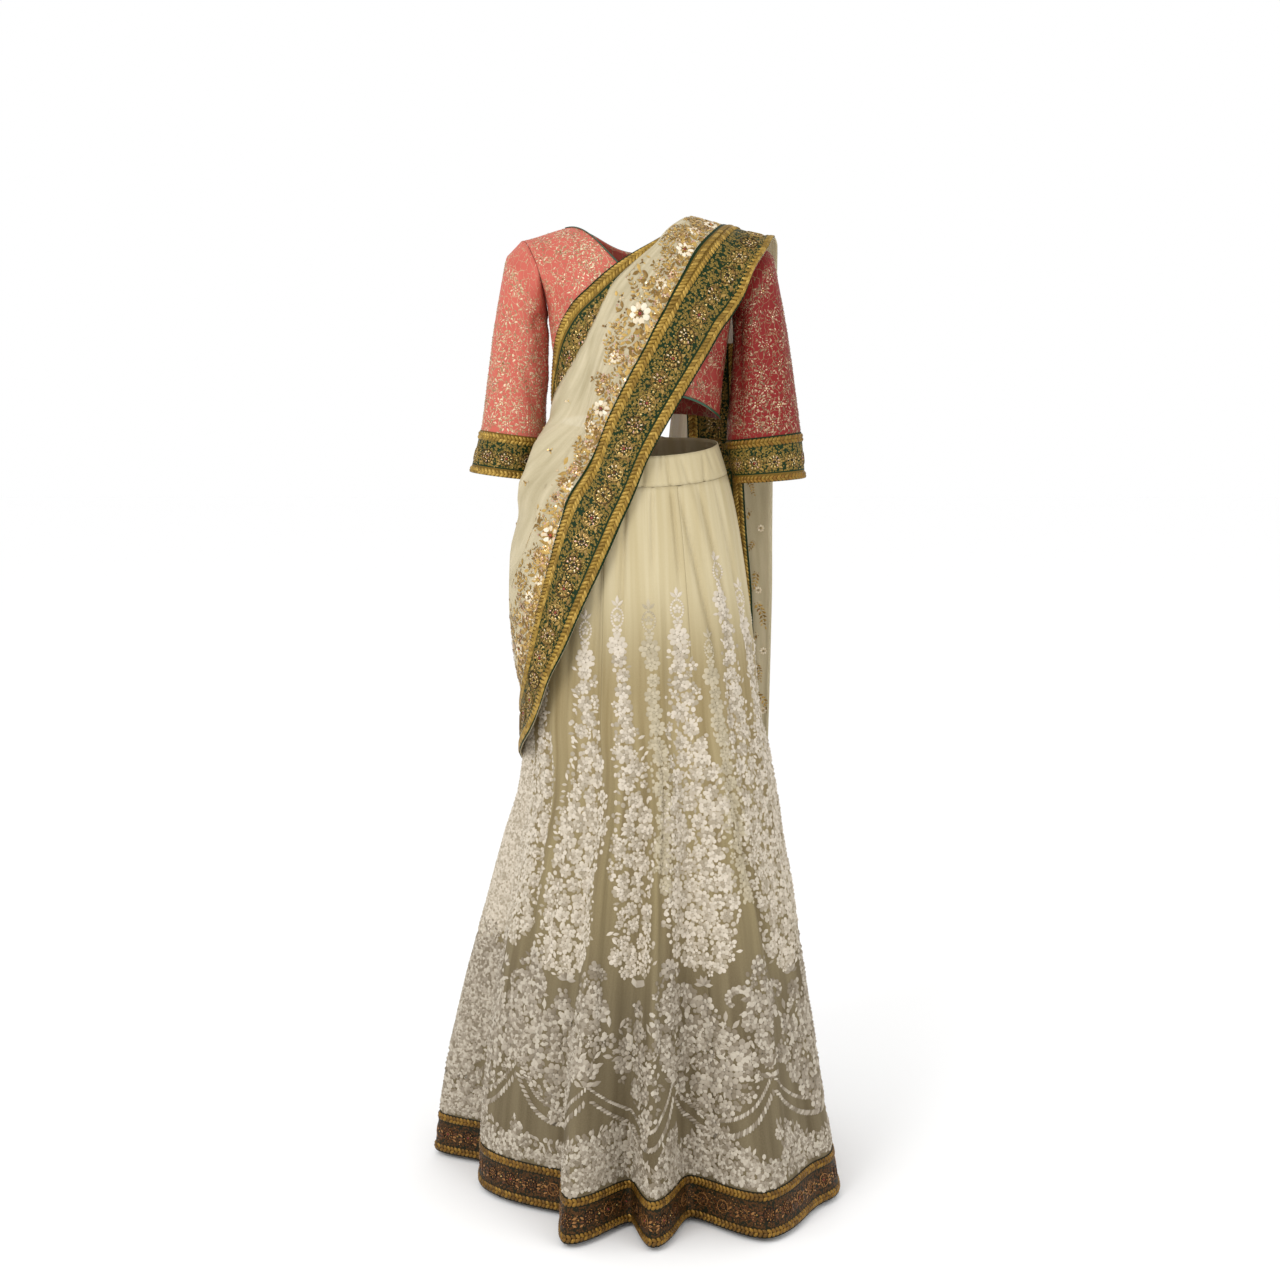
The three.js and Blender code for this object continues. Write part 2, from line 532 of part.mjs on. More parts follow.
const skirtTurns = between(GORES * SKIRT_AROUND, GORE_START, GORE_START + 360).slice(0, -1);
border('hem', skirtForm, skirtTurns, [HEM, HEM + HEM_BORDER], { ring: true, band: HEM_BAND });
const waistSurface = (turn, rise) => skirtForm(turn, waistTop(turn) - WAISTBAND + rise);
const waistTurns = between(WAIST_AROUND, GORE_START, GORE_START + 360).slice(0, -1);
const waistband = { thickness: SKIRT_CLOTH, ring: true };
wall('skirt_waistband', SKIRT_NET, waistSurface, waistTurns, [0, WAISTBAND], waistband);

// ---- Pallu: the front stretch and its border, the edge under it, the hip and the fall

/** A stretch of the pallu between two or three named edges of its table. */
function stretch(rows, edges) {
  const last = edges.length - 1;
  return (place, across) => {
    const at = (key) => along(rows, key, place);
    const i = Math.min(Math.floor(lift01(across / last) * last), last - 1);
    const [[turnA, heightA], [turnB, heightB]] = [edges[i], edges[i + 1]];
    const share = across - i;
    const turn = THREE.MathUtils.lerp(at(turnA), at(turnB), share);
    return figure(PALLU, turn, THREE.MathUtils.lerp(at(heightA), at(heightB), share));
  };
}

const frontEdges = [['foldTurn', 'fold'], ['bandTurn', 'band'], ['edgeTurn', 'edge']];
const front = stretch(PALLU_FRONT, frontEdges);
const frontPlaces = between(PALLU_STEPS, 0.0004, 0.999);
const net = { lift: FRONT_LIFT, thickness: NET_CLOTH };
const frontAcross = [0, 0.13, 0.26, 0.4, 0.7, 1, 1 + BORDER_BRAID, 2 - BORDER_BRAID, 2];
wall('pallu_front', PALLU_NET, front, frontPlaces, frontAcross, { ...net, flip: true });
border('pallu_front', front, frontPlaces, [2, 1], { lift: FRONT_LIFT, flip: true });

const under = stretch(PALLU_UNDER, [['edgeTurn', 'edge'], ['innerTurn', 'inner']]);
const underPlaces = between(UNDER_STEPS, 0, 0.999);
const underCloth = { thickness: NET_CLOTH, flip: true };
wall('pallu_under', PALLU_NET, under, underPlaces, [0, BORDER_BRAID, 1 - BORDER_BRAID, 1], underCloth);
border('pallu_under', under, underPlaces, [0, 1], { flip: true, only: ['braid_outer', 'band'] });

const hipForm = stretch(PALLU_HIP, [['upperTurn', 'upper'], ['bandTurn', 'band'], ['edgeTurn', 'edge']]);
/** The hip stretch comes in to the waistband at the corner that is tucked there. */
function hip(place, across) {
  const point = hipForm(place, across);
  const outside = FRONT_LIFT - NET_CLOTH + SEAM;
  const seat = skirtForm(along(PALLU_HIP, 'upperTurn', place) + 360, point.z);
  const tuck = ease(lift01((place - TUCK.from) / (1 - TUCK.from))) * ease(lift01(1 - across / TUCK.reach));
  const inward = new THREE.Vector3(seat.x, seat.y, 0).normalize().multiplyScalar(-outside);
  return point.lerp(new THREE.Vector3(seat.x, seat.y, point.z).add(inward), tuck);
}
const hipPlaces = between(HIP_STEPS, 0.003, 1);
const hipUpper = [0, BORDER_BRAID, 1 - BORDER_BRAID, 1].map((share) => share * UPPER_BORDER);
const hipAcross = [...hipUpper, 0.6, 1, 1 + BORDER_BRAID, 2 - BORDER_BRAID, 2];
wall('pallu_hip', PALLU_NET, hip, hipPlaces, hipAcross, net);
border('pallu_hip', hip, hipPlaces, [2, 1], { lift: FRONT_LIFT });
border('pallu_hip_upper', hip, hipPlaces, [0, UPPER_BORDER], { lift: FRONT_LIFT });

const edgeAt = (column, height) => smooth(FALL_EDGES, 'height', column, height);
/** The form that the fall hangs on, at a height and an X. */
function fallForm(height, x) {
  const half = smooth(FALL.rows, 'height', 'half', height);
  return figure(FALL, 180 - THREE.MathUtils.radToDeg(Math.asin(x / half)), height);
}
/** The fall at a share of its width from the inner edge, with its pleats. */
function fall(share, height) {
  const { count, depth } = FALL_PLEATS;
  const x = THREE.MathUtils.lerp(edgeAt('inner', height), edgeAt('outer', height), share);
  const point = fallForm(height, x);
  const open = ease(lift01((SHOULDER_RIDGE - height) / (SHOULDER_RIDGE - CHEST)));
  point.y += depth * open * Math.sin(Math.PI * share) * Math.cos(2 * Math.PI * count * share);
  return point;
}
const fallLevels = [FALL_END, FALL_END + FALL_BORDER, -812, -690, -568, -430, -300, -190, CHEST,
  SHOULDER_BORDER.low, 0, 50, SHOULDER_RIDGE - 0.1];
const outward = { lift: FRONT_LIFT, flip: true };
wall('pallu_fall', PALLU_NET, fall, FALL_SHARES, fallLevels, { ...outward, thickness: NET_CLOTH });
border('pallu_fall_end', fall, FALL_SHARES, [FALL_END, FALL_END + FALL_BORDER], outward);
const { inner: shoulderInner, outer: shoulderOuter, low: shoulderLow } = SHOULDER_BORDER;
const shoulderLevels = fallLevels.filter((height) => height >= shoulderLow);
const shoulder = (height, share) => fall(share, height);
border('pallu_shoulder', shoulder, shoulderLevels, [shoulderOuter, shoulderInner], { lift: FRONT_LIFT });

/** The layer folded in behind the fall: it faces forward, its border at its free edge. */
function turned(height, place) {
  const free = edgeAt('turned', height);
  const outer = edgeAt('outer', height);
  const bordered = free + FALL_BORDER * Math.min(place, 1);
  const point = fallForm(height, place <= 1 ? bordered : THREE.MathUtils.lerp(bordered, outer, place - 1));
  const gap = SEAM + (TURNED_GAP - SEAM) * ease(lift01(2 - place));
  point.y += FRONT_LIFT - 2 * NET_CLOTH - gap;
  return point;
}
const turnedLevels = [TURNED_END, ...fallLevels.filter((z) => z > TURNED_END && z < TURNED_TOP), TURNED_TOP];
const turnedPlaces = [0, BORDER_BRAID, 1 - BORDER_BRAID, 1, 1.5, 2];
const facingFront = { thickness: NET_CLOTH, flip: true };
wall('pallu_turned', PALLU_NET, turned, turnedLevels, turnedPlaces, facingFront);
border('pallu_turned', turned, turnedLevels, [0, 1], { flip: true });

export default part;
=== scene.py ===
"""Looks of a net sari worn with its matching blouse: brocade, net, lace, borders and beadwork.

The garment faces -Y with +Z up, and the origin is the middle of the shoulder line. Forms and
motifs are worked out in millimetres, and every mesh is made in metres. A turn is an angle round
the figure in degrees: 0 is the front, 90 is +X and 180 is the back.
"""

from __future__ import annotations

import logging
import math
from dataclasses import dataclass, field, replace
from enum import Enum
from typing import Any, Callable, Sequence

import bpy
import numpy as np
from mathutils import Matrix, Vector

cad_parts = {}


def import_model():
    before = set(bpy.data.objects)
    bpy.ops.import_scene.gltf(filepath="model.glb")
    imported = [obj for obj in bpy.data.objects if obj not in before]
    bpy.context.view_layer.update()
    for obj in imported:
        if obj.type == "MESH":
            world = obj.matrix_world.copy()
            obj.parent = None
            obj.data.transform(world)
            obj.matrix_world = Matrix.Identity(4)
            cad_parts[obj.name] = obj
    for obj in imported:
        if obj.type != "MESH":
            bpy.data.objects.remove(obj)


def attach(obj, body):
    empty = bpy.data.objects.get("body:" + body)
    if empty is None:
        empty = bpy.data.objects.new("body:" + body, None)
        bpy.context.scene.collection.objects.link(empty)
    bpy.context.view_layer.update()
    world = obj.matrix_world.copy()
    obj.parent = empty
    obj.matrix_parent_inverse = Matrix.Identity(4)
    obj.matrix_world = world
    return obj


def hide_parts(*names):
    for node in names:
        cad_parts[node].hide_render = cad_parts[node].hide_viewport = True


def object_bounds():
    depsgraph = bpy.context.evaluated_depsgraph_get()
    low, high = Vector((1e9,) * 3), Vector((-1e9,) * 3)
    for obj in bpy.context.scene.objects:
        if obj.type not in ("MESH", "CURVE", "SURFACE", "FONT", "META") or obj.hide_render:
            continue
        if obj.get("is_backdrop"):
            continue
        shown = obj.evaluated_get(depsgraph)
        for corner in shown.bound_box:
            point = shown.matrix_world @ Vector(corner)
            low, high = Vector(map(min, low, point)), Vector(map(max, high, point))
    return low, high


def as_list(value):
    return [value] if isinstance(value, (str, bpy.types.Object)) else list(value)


LOG = logging.getLogger("net_sari")
Array = np.ndarray
Number = Array | float
Piece = bpy.types.Object
Material = bpy.types.Material
Tree = bpy.types.NodeTree
# Points for pairs of coordinates; coordinates for shares of a strip; a width at each height.
Form = Callable[[Array, Array], Array]
Track = Callable[[Array, Array], tuple[Array, Array]]
Outline = Callable[[Array], Array]
Pair = tuple[float, float]
Triple = tuple[float, float, float]
MM = 0.001
SEED = 860


# ---- tables and small mathematics


@dataclass(frozen=True)
class Table:
    """Rows of numbers under named columns.

    Attributes:
        columns: The names, separated by spaces.
        rows: One tuple of numbers for each row.
    """

    columns: str
    rows: tuple[tuple[float, ...], ...]

    def column(self, name: str) -> Array:
        """All values of one column."""
        return np.array([row[self.columns.split().index(name)] for row in self.rows], float)

    def smooth(self, key: str, name: str, at: Array) -> Array:
        """Monotone cubic value of a column where another column has the given values.

        Args:
            key: The column that is looked up.
            name: The column that is read.
            at: The places along the key column.

        Returns:
            The values, with no overshoot between the rows.
        """
        order = np.argsort(self.column(key))
        x, y = self.column(key)[order], self.column(name)[order]
        step = np.diff(x)
        slope = np.diff(y) / step
        tangent = np.concatenate([slope[:1], np.zeros(len(x) - 2), slope[-1:]])
        same = slope[:-1] * slope[1:] > 0
        total = np.where(same, slope[:-1] + slope[1:], 1.0)
        tangent[1:-1] = np.where(same, 2 * slope[:-1] * slope[1:] / total, 0.0)
        place = np.clip(at, x[0], x[-1])
        i = np.clip(np.searchsorted(x, place, side="left") - 1, 0, len(x) - 2)
        t = (place - x[i]) / step[i]
        return (
            (2 * t**3 - 3 * t**2 + 1) * y[i]
            + (t**3 - 2 * t**2 + t) * step[i] * tangent[i]
            + (3 * t**2 - 2 * t**3) * y[i + 1]
            + (t**3 - t**2) * step[i] * tangent[i + 1]
        )

    def along(self, name: str, place: Array) -> Array:
        """Catmull-Rom value of a column at places from 0 to 1 along the rows."""
        y = self.column(name)
        last = len(y) - 1
        x = np.clip(place, 0, 1) * last
        i = np.minimum(np.floor(x).astype(int), last - 1)
        t = x - i
        p0, p1, p2, p3 = (y[np.clip(i + k, 0, last)] for k in (-1, 0, 1, 2))
        return 0.5 * (
            2 * p1
            + (p2 - p0) * t
            + (2 * p0 - 5 * p1 + 4 * p2 - p3) * t**2
            + (3 * p1 - p0 - 3 * p2 + p3) * t**3
        )


def ease(t: Number) -> Number:
    """Smooth step of a share that is held between 0 and 1."""
    held = np.clip(t, 0, 1)
    return held * held * (3 - 2 * held)


def mix(a: Number, b: Number, share: Number) -> Number:
    """Straight blend from a to b."""
    return a + (b - a) * share


def unit(vectors: Array) -> Array:
    """The vectors at length one."""
    return vectors / np.maximum(np.linalg.norm(vectors, axis=-1, keepdims=True), 1e-9)


# ---- the forms of the garment

SHOULDER_RIDGE = 97.0
CHEST = -110.0
SHOULDER_ARC = (SHOULDER_RIDGE - CHEST) / (math.pi / 2)
ROUNDNESS = 2.4
SHOULDER_BACK = 8.0
SHOULDER_ROUND = 1.2
SHOULDER_LINE = Table("x z", ((0, 34), (60, 33), (116, 22), (178, 4), (214, -2)))
SIDE_TURN = 89.999
HEM_SIDE = -270.0
PANEL_GAP = 0.15
NECK_TURN = 39.6
SWAY_TURN, SWAY_SPREAD = -58.0, 34.0


@dataclass(frozen=True)
class Figure:
    """A form that goes round the figure and, above the chest, over the shoulder.

    Attributes:
        rows: Half width, sway, front and back depth at each height.
        lift: How far the form stands above the shoulder line.
        fullness: Least share of the depth that the sides keep up at the shoulder.
        full_from: Height where the sides start to fill out.
        full_to: Height where they are full.
    """

    rows: Table
    lift: float = 0.0
    fullness: float = 0.6
    full_from: float = CHEST
    full_to: float = CHEST + 80

    def points(self, turn: Array, top: Array) -> Array:
        """Points at the turns and height coordinates, in millimetres."""
        height = np.minimum(top, SHOULDER_RIDGE)
        angle = np.radians(turn)
        bump = np.maximum(0, 1 - ((turn - SWAY_TURN) / SWAY_SPREAD) ** 2) ** 2
        sway = self.rows.smooth("height", "sway", height)
        x = self.rows.smooth("height", "half", height) * np.sin(angle) - sway * bump
        across = np.minimum(1, np.abs(np.sin(angle)))
        side = (1 - across**ROUNDNESS) ** (1 / ROUNDNESS)
        share = (height - self.full_from) / (self.full_to - self.full_from)
        full = side + (np.maximum(side, self.fullness) - side) * ease(share)
        back = self.rows.smooth("height", "back", height)
        front = self.rows.smooth("height", "front", height)
        depth = np.where(np.cos(angle) < 0, back, -front) * full
        climb = np.clip((height - CHEST) / SHOULDER_ARC, 0, math.pi / 2)
        ridge = SHOULDER_LINE.smooth("x", "z", np.abs(x)) + self.lift
        y = SHOULDER_BACK * (1 - np.cos(climb)) + depth * np.cos(climb) ** SHOULDER_ROUND
        z = np.where(height <= CHEST, height, CHEST + (ridge - CHEST) * np.sin(climb))
        return np.stack([x, y, z], axis=-1)


FORM_COLUMNS = "height half sway front back"
NET_OVER_SHOULDER = {"lift": 3.2, "fullness": 0.78, "full_from": -200, "full_to": -40}
BLOUSE_FORM = Figure(
    Table(
        FORM_COLUMNS,
        (
            (-275, 124, 0, 92, 85), (-240, 126, 0, 97, 88), (-190, 131, 0, 109, 92),
            (-150, 136, 0, 116, 95), (CHEST, 141, 0, 110, 98), (-44, 152, 0, 110, 98),
            (22, 168, 0, 110, 98), (SHOULDER_RIDGE, 182, 0, 110, 98),
        ),
    )
)
PALLU_FORM = Figure(
    Table(
        FORM_COLUMNS,
        (
            (-860, 200, 0, 192, 192), (-793, 185, 0, 176, 182), (-707, 183, 0, 162, 168),
            (-643, 193, 0, 154, 160), (-555, 201, 0, 143, 152), (-484, 199, 0, 132, 142),
            (-420, 181, 14, 122, 128), (-391, 163, 38, 118, 120), (-365, 145, 52, 114, 110),
            (-328, 132, 48, 110, 98), (-305, 131, 40, 109, 94), (-270, 133, 8, 110, 93),
            (-180, 140, 0, 117, 97), (-150, 144, 0, 120, 100), (CHEST, 150, 0, 115, 103),
            (-44, 172, 0, 116, 104), (22, 198, 0, 116, 104), (SHOULDER_RIDGE, 212, 0, 116, 104),
        ),
    ),
    **NET_OVER_SHOULDER,
)
FALL_FORM = Figure(
    Table(
        FORM_COLUMNS,
        (
            (-1040, 350, 0, 116, 240), (-812, 312, 0, 116, 214), (-700, 298, 0, 116, 200),
            (-568, 284, 0, 116, 184), (-450, 272, 0, 116, 167), (-300, 266, 0, 116, 142),
            (CHEST, 260, 0, 116, 122), (-44, 250, 0, 116, 118), (22, 236, 0, 116, 112),
            (SHOULDER_RIDGE, 212, 0, 116, 104),
        ),
    ),
    **NET_OVER_SHOULDER,
)

FRONT_EDGES = Table(
    "foldTurn fold bandTurn band edgeTurn edge",
    (
        (-92, -268, -86, -712, -88, -800), (-80, -244, -66, -658, -64, -748),
        (-66, -222, -55, -604, -49, -679), (-52, -196, -48, -545, -34, -611),
        (-41, -169, -42, -478, -21, -524), (-34, -147, -38, -421, -14, -472),
        (-28, -125, -34, -365, -7, -412), (-21, -96, -26, -296, 4, -337), (-14, -70, -12, -227, 19, -270),
        (-5, -46, 4, -155, 36, -203), (4, -20, 18, -83, 54, -139), (8, -4, 23, -53, 67, -108),
        (11, 18, 27, -20, 79, -68), (17, 54, 34, 36, 80, 12), (21, 97, 39, 97, 79, 97),
    ),
)
UNDER_EDGES = Table(
    "edgeTurn edge innerTurn inner",
    (
        (-86, -246, -80, -322), (-71, -180, -52, -262), (-58, -136, -38, -212), (-43, -100, -24, -166),
        (-27, -73, -8, -128), (-11, -41, 6, -90), (5, -7, 19, -48), (15, 26, 28, 0), (21, 62, 33, 52),
        (24, 97, 36, 97),
    ),
)
HIP_EDGES = Table(
    "upperTurn upper bandTurn band edgeTurn edge",
    (
        (-92, -268, -86, -712, -88, -800), (-112, -276, -110, -744, -110, -832),
        (-138, -284, -138, -746, -138, -834), (-164, -290, -164, -700, -164, -786),
        (-188, -296, -186, -618, -186, -702), (-208, -306, -206, -522, -206, -602),
    ),
)
FALL_EDGES = Table(
    "height inner turned outer",
    (
        (-1030, -24, 108, 206), (-812, -4, 108, 215), (-568, 20, 99, 216), (-450, 34, 88, 214),
        (-300, 48, 78, 213), (CHEST, 66, 72, 219), (22, 74, 72, 216), (SHOULDER_RIDGE, 76, 72, 208),
    ),
)
FRONT_LIFT, TRIM_LIFT = 6.0, 1.2
NET_CLOTH, NET_HOLE = 1.2, 1.6
UPPER_BORDER = 0.19
TUCK_FROM, TUCK_REACH = 0.6, 0.5
FALL_END = -1030.0
BORDER_WIDTH = 88.0
TURNED_TOP, TURNED_END, TURNED_GAP = -150.0, -1000.0, 9.0

WAIST_TOP = -300.0
WAIST_DIP = 25.0
WAISTBAND = 46.0
SEAM = 0.3
GORE_KNEE = -390.0
GORE_TOP = WAIST_TOP - WAISTBAND - SEAM
HEM = -1472.0
HEM_BORDER = 66.0
FOLD_TOP = -470.0
FOLD_GROWTH = 1.4
SKIRT_ROWS = Table(
    "height half centre front back",
    (
        (HEM, 285, -10, 262, 250), (-1357, 275, -11, 251, 238), (-1187, 253, -5, 232, 216),
        (-1019, 225, 3, 210, 194), (-936, 209, 6, 195, 183), (-854, 194, 12, 180, 172),
        (-793, 187, 11, 170, 166), (-727, 181, 6, 160, 159), (-600, 173, 5, 142, 148),
        (-523, 166, 3, 132, 139), (-450, 157, 1, 121, 124), (-400, 148, 0, 113, 112),
        (-350, 135, 0, 103, 97), (WAIST_TOP, 119, 0, 92, 88),
    ),
)
SKIRT_FOLDS = Table(
    "valley low crest high lean",
    (
        (-112, -15, -93, 45, 0), (-80, -35, -57, -6, 0), (-25, -20, -15, 76, 6), (-1, -7, 6, 76, 8),
        (18, -10, 33, 100, 0), (54, 70, 62, 76, 6), (86, 22, 100, 40, 0), (117, -8, 128, 45, 6),
        (143, -14, 152, 52, 0), (167, -10, 177, 55, -6), (191, -12, 201, 46, 0), (215, -14, 228, 42, 6),
    ),
)
GORES = 8
GORE_START = -111.0
SEAM_TURN = 0.03

SLEEVE_COLUMNS = "outerX outerZ innerX innerZ depth y"
RIGHT_SLEEVE = Table(
    SLEEVE_COLUMNS,
    (
        (206, -22, 144, -119, 56, 0), (218, -80, 145, -142, 54, 2), (230, -142, 144, -176, 52, 5),
        (241, -213, 141, -230, 51, 8), (252, -290, 137, -303, 51, 10), (259, -362, 150, -370, 50, 12),
    ),
)
LEFT_SLEEVE = Table(
    SLEEVE_COLUMNS,
    (
        (206, -22, 144, -119, 56, 0), (218, -80, 147, -142, 54, 3), (229, -142, 148, -176, 52, 8),
        (239, -213, 148, -230, 51, 13), (250, -287, 149, -300, 50, 17), (267, -353, 160, -366, 49, 20),
    ),
)


class Side(Enum):
    """A side of the garment, as the sign of X that it lies on."""

    RIGHT = 1
    LEFT = -1


SLEEVES = {Side.RIGHT: RIGHT_SLEEVE, Side.LEFT: LEFT_SLEEVE}


@dataclass(frozen=True)
class Panel:
    """The front or the back of the blouse.

    Attributes:
        name: Which of the two it is.
        outward: 1 at the front, -1 at the back.
        hem: Height of its curved hem in the middle.
        neck: Height of its neckline in the middle.
        curve: How round the neckline is.
    """

    name: str
    outward: int
    hem: float
    neck: float
    curve: float

    def edges(self, turn: Array) -> tuple[Array, Array]:
        """Heights of the hem and of the neckline at each turn."""
        share = np.clip(np.abs(turn) / NECK_TURN, 0, 1)
        hem = self.hem + (HEM_SIDE - self.hem) * np.abs(np.sin(np.radians(turn))) ** 3
        return hem, self.neck + (SHOULDER_RIDGE - self.neck) * share**self.curve

    def points(self, turn: Array, share: Array) -> Array:
        """The panel at shares of its height from the hem to the neck."""
        inside = np.clip(turn, -SIDE_TURN, SIDE_TURN)
        height = mix(*self.edges(turn), share)
        round_ = inside if self.outward > 0 else 180 - inside
        return BLOUSE_FORM.points(round_, height) - [0, PANEL_GAP * self.outward, 0]


PANELS = (Panel("front", 1, -232, -60, 1.7), Panel("back", -1, -262, -10, 2.2))


@dataclass(frozen=True)
class Edge:
    """A straight track on a cloth, for a strip that is laid there.

    Attributes:
        along: First and last coordinate along the strip.
        across: First and last coordinate across it.
    """

    along: Pair = (0, 1)
    across: Pair = (0, 1)

    def __call__(self, place: Array, share: Array) -> tuple[Array, Array]:
        """Coordinates on the cloth for shares along and across the strip."""
        return mix(*self.along, place), mix(*self.across, share)


def sleeve_form(rows: Table, side: Side) -> Form:
    """A sleeve as a form of the angle round the arm and the section, 0 being the armhole.

    Args:
        rows: The outer and the inner point of each section, its half depth and its middle.
        side: The side of the garment that the sleeve is on.

    Returns:
        A function from angles and sections to points.
    """

    def form(around: Array, place: Array) -> Array:
        """From the armhole to the first section, and through the sections to the cuff."""
        angle = np.mod(around, 360)
        share = np.minimum(angle, 360 - angle) / 180
        height = mix(SHOULDER_RIDGE, CHEST, share)
        hole = BLOUSE_FORM.points(np.where(angle <= 180, SIDE_TURN, 180 - SIDE_TURN), height)
        hole = hole + [1.0, 0, 0]
        turn = np.radians(angle)
        section = np.clip((place - 1) / (len(rows.rows) - 1), 0, 1)
        value = {name: rows.along(name, section) for name in SLEEVE_COLUMNS.split()}
        share = (1 - np.cos(turn)) / 2
        x = mix(value["outerX"], value["innerX"], share)
        z = mix(value["outerZ"], value["innerZ"], share)
        ring = np.stack([x, value["y"] - value["depth"] * np.sin(turn), z], axis=-1)
        points = mix(hole, ring, np.clip(place, 0, 1)[..., None])
        return points * [side.value, 1, 1]

    return form


def fold_at(turn: Array) -> tuple[Array, Array]:
    """The skirt's folds: how far the cloth reaches out at the hem, and how far it leans."""
    valleys = SKIRT_FOLDS.column("valley")
    start = valleys[0]
    round_ = start + np.mod(turn - start, 360)
    i = np.searchsorted(valleys, round_, side="right") - 1
    after = np.append(valleys[1:], start + 360)
    low, crest = SKIRT_FOLDS.column("low"), SKIRT_FOLDS.column("crest")
    high, lean = SKIRT_FOLDS.column("high"), SKIRT_FOLDS.column("lean")
    rising = round_ < crest[i]
    up = (round_ - valleys[i]) / (crest[i] - valleys[i])
    down = (after[i] - round_) / (after[i] - crest[i])
    share = ease(np.where(rising, up, down))
    foot = np.where(rising, low[i], np.roll(low, -1)[i])
    return foot + (high[i] - foot) * share, lean[i] * share


def skirt_form(turn: Array, z: Array) -> Array:
    """The skirt at turns and heights, with its large folds."""
    angle = np.radians(turn)
    half = SKIRT_ROWS.smooth("height", "half", z)
    back = SKIRT_ROWS.smooth("height", "back", z)
    depth = np.where(np.cos(angle) < 0, back, SKIRT_ROWS.smooth("height", "front", z))
    growth = np.maximum(0, (FOLD_TOP - z) / (FOLD_TOP - HEM)) ** FOLD_GROWTH
    reach, lean = fold_at(turn)
    out = unit(np.stack([np.sin(angle) * depth, -np.cos(angle) * half, 0 * depth], axis=-1))
    across = np.stack([-out[..., 1], out[..., 0], 0 * depth], axis=-1)
    centre = SKIRT_ROWS.smooth("height", "centre", z)
    base = np.stack([centre + half * np.sin(angle), -depth * np.cos(angle), z], axis=-1)
    return base + out * (reach * growth)[..., None] - across * (lean * growth)[..., None]


def waist_top(turn: Array) -> Array:
    """Height of the waistband's upper edge, lower at the front."""
    return WAIST_TOP - WAIST_DIP * ((1 + np.cos(np.radians(turn))) / 2) ** 2


def stretch(rows: Table, edges: Sequence[tuple[str, str]]) -> Form:
    """A stretch of the pallu between the named edges of its table.

    Args:
        rows: The table of edges.
        edges: The turn and height columns of each edge, from the first to the last.

    Returns:
        A function from places along the stretch and across it to points.
    """

    def form(place: Array, across: Array) -> Array:
        """Between the two edges that lie on either side of a place."""
        last = len(edges) - 1
        turns = np.stack([rows.along(turn, place) for turn, _ in edges])
        heights = np.stack([rows.along(height, place) for _, height in edges])
        i = np.clip(np.floor(across).astype(int), 0, last - 1)
        share = across - i
        pick = [np.take_along_axis(v, (i + k)[None], 0)[0] for v in (turns, heights) for k in (0, 1)]
        turn, height = mix(pick[0], pick[1], share), mix(pick[2], pick[3], share)
        return PALLU_FORM.points(turn, height)

    return form


front_form = stretch(FRONT_EDGES, (("foldTurn", "fold"), ("bandTurn", "band"), ("edgeTurn", "edge")))
under_form = stretch(UNDER_EDGES, (("edgeTurn", "edge"), ("innerTurn", "inner")))
hip_free = stretch(HIP_EDGES, (("upperTurn", "upper"), ("bandTurn", "band"), ("edgeTurn", "edge")))


def hip_form(place: Array, across: Array) -> Array:
    """The hip stretch, brought in to the waistband at the corner that is tucked there."""
    point = hip_free(place, across)
    z = point[..., 2]
    seat = skirt_form(HIP_EDGES.along("upperTurn", place) + 360, z)
    tuck = ease((place - TUCK_FROM) / (1 - TUCK_FROM)) * ease(1 - across / TUCK_REACH)
    flat = unit(seat * [1, 1, 0])
    seat = seat - flat * (FRONT_LIFT - NET_CLOTH + 0.3)
    return mix(point, seat, tuck[..., None])


def fall_form(height: Array, x: Array) -> Array:
    """The form that the fall hangs on, at heights and places across."""
    half = FALL_FORM.rows.smooth("height", "half", height)
    return FALL_FORM.points(180 - np.degrees(np.arcsin(x / half)), height)


def fall(share: Array, height: Array) -> Array:
    """The fall at shares of its width from the inner edge, with its pleats."""
    inner = FALL_EDGES.smooth("height", "inner", height)
    outer = FALL_EDGES.smooth("height", "outer", height)
    point = fall_form(height, mix(inner, outer, share))
    opened = ease((SHOULDER_RIDGE - height) / (SHOULDER_RIDGE - CHEST))
    wave = 5 * opened * np.sin(np.pi * share) * np.cos(4 * np.pi * share)
    return point + np.stack([0 * wave, wave, 0 * wave], axis=-1)


def turned(height: Array, place: Array) -> Array:
    """The layer that is folded in behind the fall, with its border at its free edge."""
    free = FALL_EDGES.smooth("height", "turned", height)
    outer = FALL_EDGES.smooth("height", "outer", height)
    bordered = free + BORDER_WIDTH * np.minimum(place, 1)
    x = np.where(place <= 1, bordered, mix(bordered, outer, place - 1))
    gap = 0.3 + (TURNED_GAP - 0.3) * ease(2 - place)
    move = FRONT_LIFT - 2 * NET_CLOTH - gap
    return fall_form(height, x) + np.stack([0 * move, move, 0 * move], axis=-1)


# ---- cloth


@dataclass(frozen=True)
class Crease:
    """A soft trough or ridge, placed in a cloth's own coordinates.

    Attributes:
        start: Where it starts.
        end: Where it ends.
        width: Half width in millimetres.
        depth: How far it stands out in millimetres; a trough is negative.
    """

    start: Pair
    end: Pair
    width: float
    depth: float


def creases(*rows: tuple[float, ...]) -> tuple[Crease, ...]:
    """Creases from rows of start u, start v, end u, end v, width and depth."""
    return tuple(Crease(row[0:2], row[2:4], row[4], row[5]) for row in rows)


